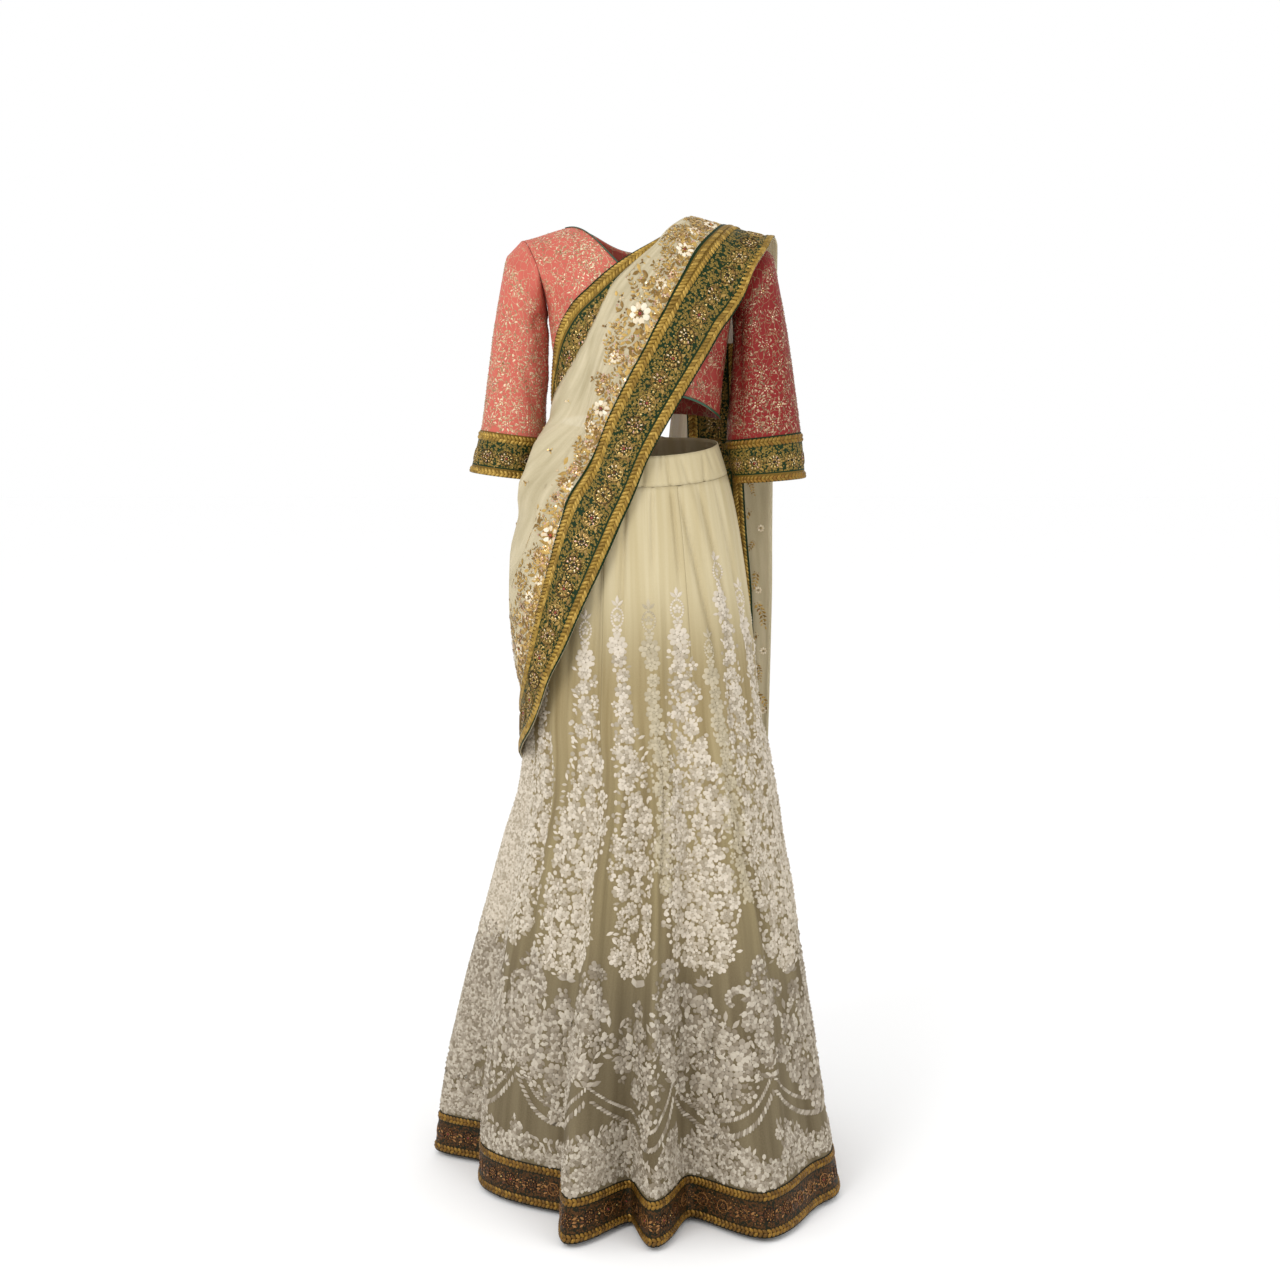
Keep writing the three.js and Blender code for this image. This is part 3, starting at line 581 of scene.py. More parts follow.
# A roll along the folded edge, and pulls that run with the drape.
FRONT_CREASES = creases(
    (-0.6, 0.0, 1.6, 0.0, 7, -5.0), (0.05, 0.5, 0.55, 0.34, 12, -3.2), (0.12, 0.78, 0.62, 0.6, 10, 2.6),
    (0.35, 0.2, 0.8, 0.3, 9, -3.0), (0.3, 0.9, 0.92, 0.8, 9, -2.2), (0.5, 0.55, 0.97, 0.5, 8, 2.4),
    (0.08, 0.3, 0.66, 0.16, 9, 2.6), (0.42, 0.42, 0.99, 0.36, 7, -2.4), (0.15, 0.64, 0.5, 0.5, 9, -2.4),
    (0.58, 0.1, 0.97, 0.2, 6, 2.2), (0.02, 0.14, 0.34, 0.1, 11, 3.0),
)
HIP_CREASES = creases(
    (0.02, 0.5, 0.9, 0.3, 14, -3.4), (0.05, 0.85, 0.7, 0.62, 12, 3.0), (0.3, 1.1, 0.98, 0.7, 12, -2.8),
    (0.1, 0.25, 0.6, 0.2, 10, 2.4), (0.4, 0.75, 0.96, 0.45, 10, 2.6),
)
FALL_CREASES = creases(
    (0.2, 60, 0.16, -700, 8, -5.5), (0.46, 70, 0.42, -900, 9, 5.0), (0.7, 40, 0.74, -820, 8, -5.5),
    (0.08, 30, 0.1, -900, 7, 4.0), (0.33, 20, 0.3, -560, 7, -4.6), (0.59, 0, 0.58, -1000, 8, 4.4),
    (0.9, -80, 0.92, -940, 7, -4.0), (0.24, -420, 0.26, -1000, 7, 4.0), (0.82, -300, 0.84, -1000, 7, 3.4),
)
# Darts run down from the waistband; longer folds start lower and open towards the hem.
SKIRT_CREASES = creases(
    (19, -330, 21, -540, 3.6, -5.4), (22, -330, 41, -680, 4.4, -7.0), (28, -330, 46, -560, 6, 3.0),
    (8, -325, 6, -520, 3.6, -4.2), (-8, -330, -12, -620, 4.4, -5.2), (-20, -340, -26, -680, 5, -4.6),
    (37, -330, 53, -620, 4.4, -5.2), (54, -335, 67, -680, 5, -5.0), (-38, -380, -44, -760, 8, -3.0),
    (12, -480, 13, -860, 7, -3.4), (-15, -620, -9, -1280, 8, -8.0), (34, -740, 52, -1240, 8, -8.0),
    (46, -540, 45, -860, 8, -3.6), (-57, -680, -46, -1220, 8, -8.0), (-34, -800, -36, -1380, 10, 4.0),
    (-1, -860, -1, -1400, 9, 4.6), (7, -620, 9, -1420, 8, -8.0), (40, -900, 41, -1400, 9, 4.6),
    (66, -700, 72, -1380, 10, -4.6), (22, -1000, 24, -1440, 10, -4.2), (-70, -820, -74, -1400, 11, -4.6),
    (84, -360, 92, -960, 9, -6.0), (96, -700, 104, -1380, 10, 5.6), (110, -352, 112, -620, 6, -2.6),
    (124, -480, 122, -1240, 9, -7.0), (136, -354, 136, -560, 5, -2.4), (148, -640, 146, -1400, 10, 5.6),
    (160, -352, 162, -700, 7, -3.0), (172, -640, 170, -1320, 9, -7.6), (184, -354, 184, -520, 5, -2.6),
    (196, -560, 198, -1200, 9, -6.4), (208, -352, 206, -640, 6, -2.4), (220, -760, 222, -1400, 10, 6.0),
    (236, -420, 240, -1160, 9, -6.6),
)
WAIST_CREASES = creases(
    (20, -16, 17, 56, 2.8, -4.2), (26, -14, 22, 54, 3.4, 2.2), (34, -12, 29, 44, 2.8, -3.2),
    (11, -8, 14, 56, 2.8, -2.8), (1, -14, 3, 46, 3.2, -2.6), (-12, -12, -9, 56, 3.2, -3.0),
    (44, -16, 50, 46, 3.2, -3.4), (58, 4, 55, 52, 4, -1.5), (70, -4, 66, 50, 4, 1.2),
    (96, -8, 98, 44, 4, -1.6), (118, -10, 120, 46, 4, -2.0), (144, 0, 142, 50, 4, -1.5),
    (168, -6, 165, 50, 5, -1.8), (188, -4, 190, 44, 4, -1.4), (204, -8, 206, 44, 4, 1.2),
    (228, -6, 227, 48, 4, -1.7), (-60, -8, -58, 48, 4, -1.8), (-84, 0, -86, 50, 4, -1.4),
)
BLOUSE_CREASES = creases(
    (-64, 0.86, -40, 0.46, 8, -3.6), (-72, 0.62, -48, 0.26, 8, -2.8), (-82, 0.5, -78, 0.12, 9, 2.4),
    (62, 0.86, 42, 0.4, 9, -3.8), (73, 0.62, 50, 0.2, 9, -3.4), (82, 0.5, 62, 0.1, 8, 2.4),
    (30, 0.36, 12, 0.1, 12, -2.0),
)
# From the armpit across the arm, and along it; the last ones are at the back.
SLEEVE_CREASES = {
    Side.LEFT: creases(
        (165, 0.5, 118, 2.2, 9, -5.5), (172, 1.0, 166, 4.6, 15, 6.5), (124, 2.4, 60, 3.4, 12, -2.6),
        (70, 1.2, 86, 4.6, 16, -2.6), (102, 3.2, 150, 4.8, 10, -3.2), (200, 0.6, 240, 2.4, 10, -4.0),
        (262, 2.0, 280, 4.8, 14, -2.8), (322, 1.5, 300, 4.0, 14, 2.4),
    ),
    Side.RIGHT: creases(
        (168, 0.4, 126, 2.0, 9, -6.0), (150, 1.0, 138, 4.9, 9, -5.0), (106, 0.8, 112, 5.0, 13, 4.0),
        (72, 1.4, 84, 4.6, 11, -3.8), (38, 1.0, 54, 4.8, 14, 2.4), (205, 0.5, 236, 2.6, 10, -4.2),
        (254, 1.6, 270, 4.6, 13, -3.0), (312, 1.2, 296, 4.4, 15, 2.6),
    ),
}


# A crease fades out over this share of its length at each end.
CREASE_FADE = 0.3


class Cloth:
    """A cloth's form on a fine net of points, with its creases, ready to be sewn on."""

    def __init__(
        self,
        form: Form,
        us: tuple[float, float, int],
        vs: tuple[float, float, int],
        outward: int = 1,
        ring: bool = False,
        lift: float = 0.0,
        folds: tuple[Crease, ...] = (),
    ) -> None:
        """Work out the points, the normals and the real lengths along both directions.

        Args:
            form: Points for each pair of coordinates, in millimetres.
            us: First and last u, and how many steps between them.
            vs: The same for v.
            outward: -1 where u across v points into the figure.
            ring: True where the last u meets the first.
            lift: How far the cloth stands off its form.
            folds: The creases.
        """
        self.u = np.linspace(us[0], us[1], us[2] + 1)
        self.v = np.linspace(vs[0], vs[1], vs[2] + 1)
        self.ring = ring
        self.outward = outward
        self._arcs: Array | None = None
        grid_u, grid_v = np.meshgrid(self.u, self.v, indexing="ij")
        self.points = form(grid_u, grid_v)
        self._measure()
        relief = lift + np.zeros(grid_u.shape)
        for crease in folds:
            relief = relief + self._relief(crease, grid_u, grid_v)
        self.points = self.points + self.normals * relief[..., None]
        self._measure()

    def _slope(self, axis: int) -> Array:
        """Change of the points for each unit of u or v."""
        if axis == 0 and self.ring:
            wrapped = np.concatenate([self.points[-2:-1], self.points, self.points[1:2]])
            step = self.u[1] - self.u[0]
            return (wrapped[2:] - wrapped[:-2]) / (2 * step)
        return np.gradient(self.points, self.u if axis == 0 else self.v, axis=axis)

    def _measure(self) -> None:
        """Bring the slopes, the normals and the lengths up to date."""
        self.along, self.across = self._slope(0), self._slope(1)
        cross = np.cross(self.along, self.across)
        # Where the cloth comes to a point, the normal of its neighbour is as good.
        weak = np.linalg.norm(cross, axis=-1) < 1e-6
        cross[weak] = np.roll(cross, 1, axis=0)[weak]
        self.normals = unit(cross) * self.outward

    def _relief(self, crease: Crease, grid_u: Array, grid_v: Array) -> Array:
        """How far one crease moves each point."""
        (u0, v0), (u1, v1) = crease.start, crease.end
        i = int(np.abs(self.u - (u0 + u1) / 2).argmin())
        j = int(np.abs(self.v - (v0 + v1) / 2).argmin())
        size_u = np.linalg.norm(self.along[i, j])
        size_v = np.linalg.norm(self.across[i, j])
        x, y = (grid_u - u0) * size_u, (grid_v - v0) * size_v
        dx, dy = (u1 - u0) * size_u, (v1 - v0) * size_v
        length = math.hypot(dx, dy)
        share = (x * dx + y * dy) / length**2
        off = (x * dy - y * dx) / length
        fade = ease(share / CREASE_FADE) * ease((1 - share) / CREASE_FADE)
        return crease.depth * fade * np.exp(-((off / crease.width) ** 2))

    def _cell(self, u: Array, v: Array) -> tuple[Array, ...]:
        """Cell corners and weights for bilinear reading."""
        steps_u, steps_v = len(self.u) - 1, len(self.v) - 1
        x = (u - self.u[0]) / (self.u[-1] - self.u[0]) * steps_u
        x = np.mod(x, steps_u) if self.ring else np.clip(x, 0, steps_u)
        y = np.clip((v - self.v[0]) / (self.v[-1] - self.v[0]) * steps_v, 0, steps_v)
        i = np.minimum(x.astype(int), steps_u - 1)
        j = np.minimum(y.astype(int), steps_v - 1)
        return i, j, (x - i)[..., None], (y - j)[..., None]

    def _read(self, values: Array, cell: tuple[Array, ...]) -> Array:
        """Values between the net's points."""
        i, j, a, b = cell
        low = mix(values[i, j], values[i + 1, j], a)
        high = mix(values[i, j + 1], values[i + 1, j + 1], a)
        return mix(low, high, b)

    def at(self, u: Array, v: Array, height: Number = 0.0) -> Array:
        """Points on the cloth, moved out by a height."""
        cell = self._cell(np.asarray(u, float), np.asarray(v, float))
        out = unit(self._read(self.normals, cell)) * np.asarray(height, float)[..., None]
        return self._read(self.points, cell) + out

    def reach(self, u: Array, v: Array, x: Array, y: Array) -> tuple[Array, Array]:
        """Coordinates that lie x and y millimetres from a place, y being along v.

        Args:
            u: Places along u.
            v: Places along v.
            x: Distances across v, on the cloth.
            y: Distances along v.

        Returns:
            The new u and v.
        """
        cell = self._cell(u, v)
        along, across = self._read(self.along, cell), self._read(self.across, cell)
        size = np.linalg.norm(across, axis=-1)
        axis = across / np.maximum(size, 1e-6)[..., None]
        lean = (along * axis).sum(-1)
        wide = np.maximum(np.linalg.norm(along - axis * lean[..., None], axis=-1), 1e-6)
        du = x / wide
        return u + du, v + (y - du * lean) / np.maximum(size, 1e-6)

    def arcs(self) -> Array:
        """Length round the cloth to each point of each row, from the first u."""
        if self._arcs is None:
            step = np.linalg.norm(np.diff(self.points, axis=0), axis=-1)
            self._arcs = np.concatenate([np.zeros((1, step.shape[1])), np.cumsum(step, axis=0)])
        return self._arcs

    def rises(self) -> Array:
        """Length across the cloth to each point of each column, from the first v."""
        step = np.linalg.norm(np.diff(self.points, axis=1), axis=-1)
        return np.concatenate([np.zeros((len(self.u), 1)), np.cumsum(step, axis=1)], axis=1)

    def walk(self, u: Array, v: Array, x: Array) -> Array:
        """The u that lies x millimetres from a place, measured along the cloth round its folds."""
        arcs = self.arcs()
        row = np.abs(np.asarray(v)[..., None] - self.v).argmin(-1)
        found = np.array(u, float)
        for j in np.unique(row):
            pick = row == j
            arc = np.interp(found[pick], self.u, arcs[:, j]) + x[pick]
            if self.ring:
                arc = np.mod(arc, arcs[-1, j])
            found[pick] = np.interp(arc, arcs[:, j], self.u)
        return found


# ---- meshes


def deselect() -> None:
    """Leave nothing selected, so that an operator acts on its own piece only."""
    if bpy.context.object and bpy.context.object.mode != "OBJECT":
        bpy.ops.object.mode_set(mode="OBJECT")
    bpy.ops.object.select_all(action="DESELECT")


@dataclass
class Shape:
    """Points and faces of a mesh that is copied many times.

    Attributes:
        points: One row for each point, in millimetres.
        corners: The points of all faces, one face after another.
        sizes: How many corners each face has.
    """

    points: Array
    corners: Array
    sizes: Array


class Bench:
    """Where a small motif is modelled once, before it is copied on to the cloth."""

    @staticmethod
    def take() -> Shape:
        """Take the modelled motif off the bench as a shape."""
        deselect()
        made = bpy.context.object
        mesh = made.data
        points = np.zeros(len(mesh.vertices) * 3)
        mesh.vertices.foreach_get("co", points)
        corners = np.zeros(len(mesh.loops), int)
        mesh.loops.foreach_get("vertex_index", corners)
        sizes = np.zeros(len(mesh.polygons), int)
        mesh.polygons.foreach_get("loop_total", sizes)
        bpy.data.objects.remove(made)
        return Shape(points.reshape(-1, 3), corners, sizes)

    @staticmethod
    def edit() -> None:
        """Open the new primitive with all of it selected."""
        bpy.ops.object.mode_set(mode="EDIT")
        bpy.ops.mesh.select_all(action="SELECT")

    @staticmethod
    def pick(test: Callable[[Vector], bool]) -> None:
        """In edit mode, select only the points that pass a test of their place."""
        bpy.ops.mesh.select_all(action="DESELECT")
        bpy.ops.object.mode_set(mode="OBJECT")
        for vertex in bpy.context.object.data.vertices:
            vertex.select = test(vertex.co)
        bpy.ops.object.mode_set(mode="EDIT")

    @classmethod
    def stood(cls, high: float) -> Shape:
        """Stand the new primitive off the cloth and take it."""
        cls.edit()
        bpy.ops.transform.translate(value=(0, 0, high))
        return cls.take()

    @classmethod
    def rooted(cls, wide: float, long: float, high: float) -> Shape:
        """Bring the root of a motif of radius 1 to the origin, scale it from there and take it."""
        bpy.ops.mesh.select_all(action="SELECT")
        bpy.ops.transform.translate(value=(0, 1, high))
        bpy.ops.transform.resize(value=(wide / 2, long / 2, 1), center_override=(0, 0, 0))
        return cls.take()

    @classmethod
    def bead(cls, wide: float, long: float, high: float, sides: int = 6) -> Shape:
        """A bead cut flat where it is sewn down.

        Args:
            wide: Size along x.
            long: Size along y.
            high: How far it stands off the cloth.
            sides: Faces round it.

        Returns:
            The bead.
        """
        bpy.ops.mesh.primitive_uv_sphere_add(segments=sides, ring_count=4, radius=1)
        bpy.ops.object.mode_set(mode="EDIT")
        bpy.ops.mesh.bisect(plane_co=(0, 0, 0), plane_no=(0, 0, 1), clear_inner=True)
        bpy.ops.mesh.select_all(action="SELECT")
        bpy.ops.transform.resize(value=(wide / 2, long / 2, high))
        return cls.take()

    @classmethod
    def seed(cls, wide: float, high: float) -> Shape:
        """A seed bead so small that five faces are enough."""
        bpy.ops.mesh.primitive_cone_add(vertices=5, radius1=wide / 2, depth=high, end_fill_type="NOTHING")
        return cls.stood(high / 2)

    @classmethod
    def petal(cls, wide: float, long: float, high: float) -> Shape:
        """A puffed petal with its narrow root at the origin and its tip along y."""
        bpy.ops.mesh.primitive_circle_add(vertices=7, radius=1, fill_type="TRIFAN")
        cls.edit()
        cls.pick(lambda co: co.length < 0.1)
        bpy.ops.transform.translate(value=(0, 0.15, high))
        cls.pick(lambda co: co.y < -0.5)
        bpy.ops.transform.resize(value=(0.6, 1, 1), center_override=(0, 0, 0))
        return cls.rooted(wide, long, 0.1)

    @classmethod
    def leaf(cls, wide: float, long: float, high: float) -> Shape:
        """A pointed leaf with a raised midrib, its root at the origin and its tip along y."""
        bpy.ops.mesh.primitive_circle_add(vertices=6, radius=1, fill_type="TRIFAN")
        cls.edit()
        cls.pick(lambda co: co.length < 0.1)
        bpy.ops.transform.translate(value=(0, -0.15, high))
        cls.pick(lambda co: 0.3 < abs(co.y) < 0.8)
        bpy.ops.transform.resize(value=(0.95, 0.55, 1), center_override=(0, 0, 0))
        return cls.rooted(wide, long, 0)

    @classmethod
    def ring(cls, radius: float, thick: float) -> Shape:
        """A cord couched down in a ring."""
        bpy.ops.mesh.primitive_torus_add(
            major_segments=14, minor_segments=3, major_radius=radius, minor_radius=thick / 2
        )
        return cls.stood(thick * 0.3)

    @classmethod
    def sequin(cls, size: float) -> Shape:
        """A flat six-sided sequin that stands just off the cloth."""
        bpy.ops.mesh.primitive_circle_add(vertices=6, radius=size / 2, fill_type="NGON")
        return cls.stood(0.5)


@dataclass(frozen=True)
class Stitch:
    """One small shape of a motif, at its own place in it.

    Attributes:
        shape: What is sewn.
        shades: The materials that it is picked from.
        x: Place across the motif.
        y: Place along the motif.
        turn: Turn in degrees.
        size: Size.
        lift: How far it stands off the cloth.
        tilt: How far it may lean in degrees, so that flat sequins catch the light one by one.
    """

    shape: Shape
    shades: tuple[Material, ...]
    x: float = 0.0
    y: float = 0.0
    turn: float = 0.0
    size: float = 1.0
    lift: float = 0.0
    tilt: float = 0.0


Motif = list[Stitch]
# A copy whose size on the cloth is past these shares of its own is left out.
STRETCHED, SQUASHED = 1.5, 0.6
# Staggered rows lie this share of the gap apart.
STAGGER = 0.87


def round_of(count: int, radius: float, stitch: Stitch, start: float = 0.0) -> Motif:
    """Copies of a stitch round a circle, each turned outwards."""
    made = []
    for k in range(count):
        turn = start + 360 * k / count
        x, y = -math.sin(math.radians(turn)) * radius, math.cos(math.radians(turn)) * radius
        made.append(replace(stitch, x=stitch.x + x, y=stitch.y + y, turn=stitch.turn + turn))
    return made


def moved(motif: Motif, x: float, y: float, larger: float = 1.0, wider: float = 1.0) -> Motif:
    """A motif moved along x and y, its stitches larger and the places between them wider."""
    return [replace(s, x=s.x * wider + x, y=s.y * wider + y, size=s.size * larger) for s in motif]


@dataclass
class Sewn:
    """A piece that is built up from many small shapes laid on cloth, then made one mesh.

    Attributes:
        name: The piece's name.
        blocks: Points, corners, face sizes and the material of each face of what is laid so far.
        materials: The materials in use, in order.
        luck: Picks each copy's shade and how it leans.
    """

    name: str
    blocks: list[tuple[Array, Array, Array, Array]] = field(default_factory=list)
    materials: list[Material] = field(default_factory=list)
    luck: np.random.Generator = field(default_factory=lambda: np.random.default_rng(SEED))

    def sew(
        self, cloth: Cloth, motif: Motif, u: Array, v: Array, turn: Number = 0.0, size: Number = 1.0
    ) -> None:
        """Sew a motif at each place, bent to the cloth under it.

        Args:
            cloth: What it is sewn on.
            motif: What is sewn.
            u: Places along u.
            v: Places along v.
            turn: Turn of each copy in the cloth's plane, in degrees.
            size: Size of each copy.
        """
        u, v = np.atleast_1d(np.asarray(u, float)), np.atleast_1d(np.asarray(v, float))
        if not len(u):
            return
        turns, sizes = np.broadcast_to(turn, len(u)), np.broadcast_to(size, len(u))
        spin = np.radians(turns)
        for stitch in motif:
            x = (stitch.x * np.cos(spin) - stitch.y * np.sin(spin)) * sizes
            y = (stitch.x * np.sin(spin) + stitch.y * np.cos(spin)) * sizes
            place = cloth.reach(u, v, x, y) if stitch.x or stitch.y else (u, v)
            self._lay(cloth, stitch, *place, turns + stitch.turn, sizes * stitch.size)

    def _lay(self, cloth: Cloth, stitch: Stitch, u: Array, v: Array, turns: Array, sizes: Array) -> None:
        """Lay a copy of one stitch's shape at each place that can hold it."""
        shape, n, m = stitch.shape, len(u), len(stitch.shape.points)
        spin, scale = np.radians(turns)[:, None], sizes[:, None]
        x0, y0, z0 = (shape.points[None, :, k] * scale for k in range(3))
        x = x0 * np.cos(spin) - y0 * np.sin(spin)
        y = x0 * np.sin(spin) + y0 * np.cos(spin)
        lean = np.tan(np.radians(self.luck.uniform(-stitch.tilt, stitch.tilt, (2, n, 1))))
        z = np.maximum(z0 + stitch.lift * scale + x0 * lean[0] + y0 * lean[1], 0)
        wide = np.repeat(u[:, None], m, 1), np.repeat(v[:, None], m, 1)
        points = cloth.at(*cloth.reach(*wide, x, y), z)
        # At a corner or past an edge of the cloth a shape would be stretched or squashed.
        spans = [
            np.linalg.norm(p - p.mean(axis=1, keepdims=True), axis=-1).max(axis=1)
            for p in (points, shape.points[None] * scale[..., None])
        ]
        kept = (spans[0] < STRETCHED * spans[1]) & (spans[0] > SQUASHED * spans[1])
        points, n = points[kept].reshape(-1, 3), int(kept.sum())
        corners = (shape.corners[None] + m * np.arange(n)[:, None]).ravel()
        sides = np.tile(shape.sizes, n)
        if cloth.outward < 0:
            corners = self._flipped(corners, sides)
        slots = np.array([self._slot(material) for material in stitch.shades])
        picked = slots[self.luck.integers(0, len(slots), n)]
        self.blocks.append((points, corners, sides, np.repeat(picked, len(shape.sizes))))

    def _slot(self, material: Material) -> int:
        """The number of a material in this piece."""
        if material not in self.materials:
            self.materials.append(material)
        return self.materials.index(material)

    @staticmethod
    def _flipped(corners: Array, sizes: Array) -> Array:
        """The same faces turned over."""
        ends = np.cumsum(sizes)
        starts = ends - sizes
        owner = np.repeat(np.arange(len(sizes)), sizes)
        return corners[starts[owner] + ends[owner] - 1 - np.arange(len(corners))]

    def make(self) -> Piece:
        """Make one mesh piece of all that is laid."""
        starts = np.cumsum([0] + [len(block[0]) for block in self.blocks[:-1]])
        points = np.concatenate([block[0] for block in self.blocks])
        corners = np.concatenate([block[1] + start for block, start in zip(self.blocks, starts)])
        sizes = np.concatenate([block[2] for block in self.blocks])
        made = new_piece(self.name, points, corners, sizes)
        for material in self.materials:
            made.data.materials.append(material)
        made.data.polygons.foreach_set("material_index", np.concatenate([b[3] for b in self.blocks]))
        return made


def new_piece(name: str, points: Array, corners: Array, sizes: Array, uv: Array | None = None) -> Piece:
    """Make a smooth mesh object from arrays in millimetres.

    Args:
        name: The piece's name.
        points: Its points.
        corners: The points of all faces.
        sizes: Corners of each face.
        uv: Map coordinates in millimetres for each corner.

    Returns:
        The object, at the origin, linked to the scene.
    """
    mesh = bpy.data.meshes.new(name)
    mesh.vertices.add(len(points))
    mesh.vertices.foreach_set("co", (points * MM).astype(np.float32).ravel())
    mesh.loops.add(len(corners))
    mesh.loops.foreach_set("vertex_index", corners.astype(np.int32))
    mesh.polygons.add(len(sizes))
    mesh.polygons.foreach_set("loop_start", (np.cumsum(sizes) - sizes).astype(np.int32))
    mesh.polygons.foreach_set("use_smooth", np.ones(len(sizes), bool))
    if uv is not None:
        layer = mesh.uv_layers.new(name="cloth")
        layer.data.foreach_set("uv", (uv * MM).astype(np.float32).ravel())
    mesh.update(calc_edges=True)
    mesh.validate()
    made = bpy.data.objects.new(name, mesh)
    bpy.context.scene.collection.objects.link(made)
    return made


def shell(name: str, cloth: Cloth, us: Array, vs: Array, thickness: float, ring: bool = False) -> Piece:
    """A closed thin wall of cloth at the given coordinates, mapped in its real lengths.

    Args:
        name: The piece's name.
        cloth: The form.
        us: Columns.
        vs: Rows.
        thickness: Thickness in millimetres, taken inwards.
        ring: True where the last column is the first again.

    Returns:
        The piece.
    """
    columns, rows = len(us), len(vs)
    grid_u, grid_v = np.meshgrid(us, vs, indexing="ij")
    layers = [cloth.at(grid_u, grid_v, -depth) for depth in (0.0, thickness)]
    points = np.concatenate([layer.reshape(-1, 3) for layer in layers])
    step_u = np.linalg.norm(np.diff(layers[0], axis=0), axis=-1).mean(axis=1)
    step_v = np.linalg.norm(np.diff(layers[0], axis=1), axis=-1).mean(axis=0)
    length_u, length_v = np.append(0, np.cumsum(step_u)), np.append(0, np.cumsum(step_v))
    uv = np.stack(np.meshgrid(length_u, length_v, indexing="ij"), axis=-1).reshape(-1, 2)
    uv = np.concatenate([uv, uv])

    def index(layer: int, i: Array, j: Array) -> Array:
        """Number of a point in the outer layer, 0, or the inner one, 1."""
        return layer * columns * rows + np.mod(i, columns) * rows + j

    cells = columns if ring else columns - 1
    i, j = (a.ravel() for a in np.meshgrid(np.arange(cells), np.arange(rows - 1), indexing="ij"))
    faces = [
        np.stack([index(0, i, j), index(0, i + 1, j), index(0, i + 1, j + 1), index(0, i, j + 1)], 1),
        np.stack([index(1, i, j), index(1, i, j + 1), index(1, i + 1, j + 1), index(1, i + 1, j)], 1),
    ]
    i = np.arange(cells)
    for j, turned_over in ((0, False), (rows - 1, True)):
        rim = np.stack([index(0, i, j), index(1, i, j), index(1, i + 1, j), index(0, i + 1, j)], 1)
        faces.append(rim[:, ::-1] if turned_over else rim)
    if not ring:
        j = np.arange(rows - 1)
        for i, turned_over in ((0, False), (columns - 1, True)):
            rim = np.stack([index(0, i, j), index(0, i, j + 1), index(1, i, j + 1), index(1, i, j)], 1)
            faces.append(rim[:, ::-1] if turned_over else rim)
    quads = np.concatenate(faces)
    places = uv[quads]
    if ring:
        total = length_u[-1] + np.linalg.norm(layers[0][0] - layers[0][-1], axis=-1).mean()
        first = places[..., 0] < total / 2
        closing = first.any(axis=1) & (places[..., 0] > total * 0.75).any(axis=1)
        places[..., 0] += total * (first & closing[:, None])
    # The quads face along u cross v, which is inwards where the cloth says so or its rows descend.
    direction = cloth.outward * np.sign(us[1] - us[0]) * np.sign(vs[1] - vs[0])
    if direction < 0:
        quads, places = quads[:, ::-1], places[:, ::-1]
    return new_piece(name, points, quads.ravel(), np.full(len(quads), 4), places.reshape(-1, 2))


# How finely a strip follows its track: points of its middle line, and millimetres from one
# column and one row of its own cloth to the next.
TRACK_POINTS, STRIP_COLUMN, STRIP_ROW = 600, 3.0, 4.0


def strip(base: Cloth, track: Track, width: float, lift: float, ring: bool) -> Cloth:
    """A straight strip that follows a track on a cloth, in millimetres along and across.

    Args:
        base: The cloth that it lies on.
        track: Coordinates on the cloth for shares along and across the strip.
        width: Width of the strip.
        lift: How far it stands off the cloth.
        ring: True where the strip meets its own start.

    Returns:
        The strip as a cloth of its own.
    """
    share = np.linspace(0, 1, TRACK_POINTS)
    line = base.at(*track(share, 0 * share + 0.5))
    length = np.append(0, np.cumsum(np.linalg.norm(np.diff(line, axis=0), axis=1)))

    def form(distance: Array, across: Array) -> Array:
        """Places along and across the strip, on the cloth under it."""
        place = np.interp(distance, length, share)
        return base.at(*track(place, across / width), lift)

    columns, rows = int(length[-1] / STRIP_COLUMN), max(8, int(width / STRIP_ROW))
    made = Cloth(form, (0, length[-1], columns), (0, width, rows), 1, ring)
    middle = [np.array([length[-1] / 2]), np.array([width / 2])]
    place = np.interp(middle[0], length, share)
    out = base.at(*track(place, middle[1] / width), lift + 1) - form(*middle)
    if float((made.at(*middle, 1) - made.at(*middle)) @ out.T) < 0:
        made.outward = -1
        made.normals = -made.normals
    return made


# ---- finishes


def linear(code: str) -> tuple[float, float, float, float]:
    """A colour's sRGB hex code as linear values with full alpha."""
    shares = [int(code[i : i + 2], 16) / 255 for i in (0, 2, 4)]
    values = [s / 12.92 if s <= 0.04045 else ((s + 0.055) / 1.055) ** 2.4 for s in shares]
    return (*values, 1.0)


def add_node(
    tree: Tree,
    kind: str,
    values: dict[str | int, Any] | None = None,
    links: dict[str | int, bpy.types.NodeSocket] | None = None,
    **settings: Any,
) -> bpy.types.Node:
    """Add one node with its settings, its fixed values and what feeds it."""
    made = tree.nodes.new(kind)
    for name, value in settings.items():
        setattr(made, name, value)
    for name, value in (values or {}).items():
        made.inputs[name].default_value = value
    for name, socket in (links or {}).items():
        tree.links.new(socket, made.inputs[name])
    return made


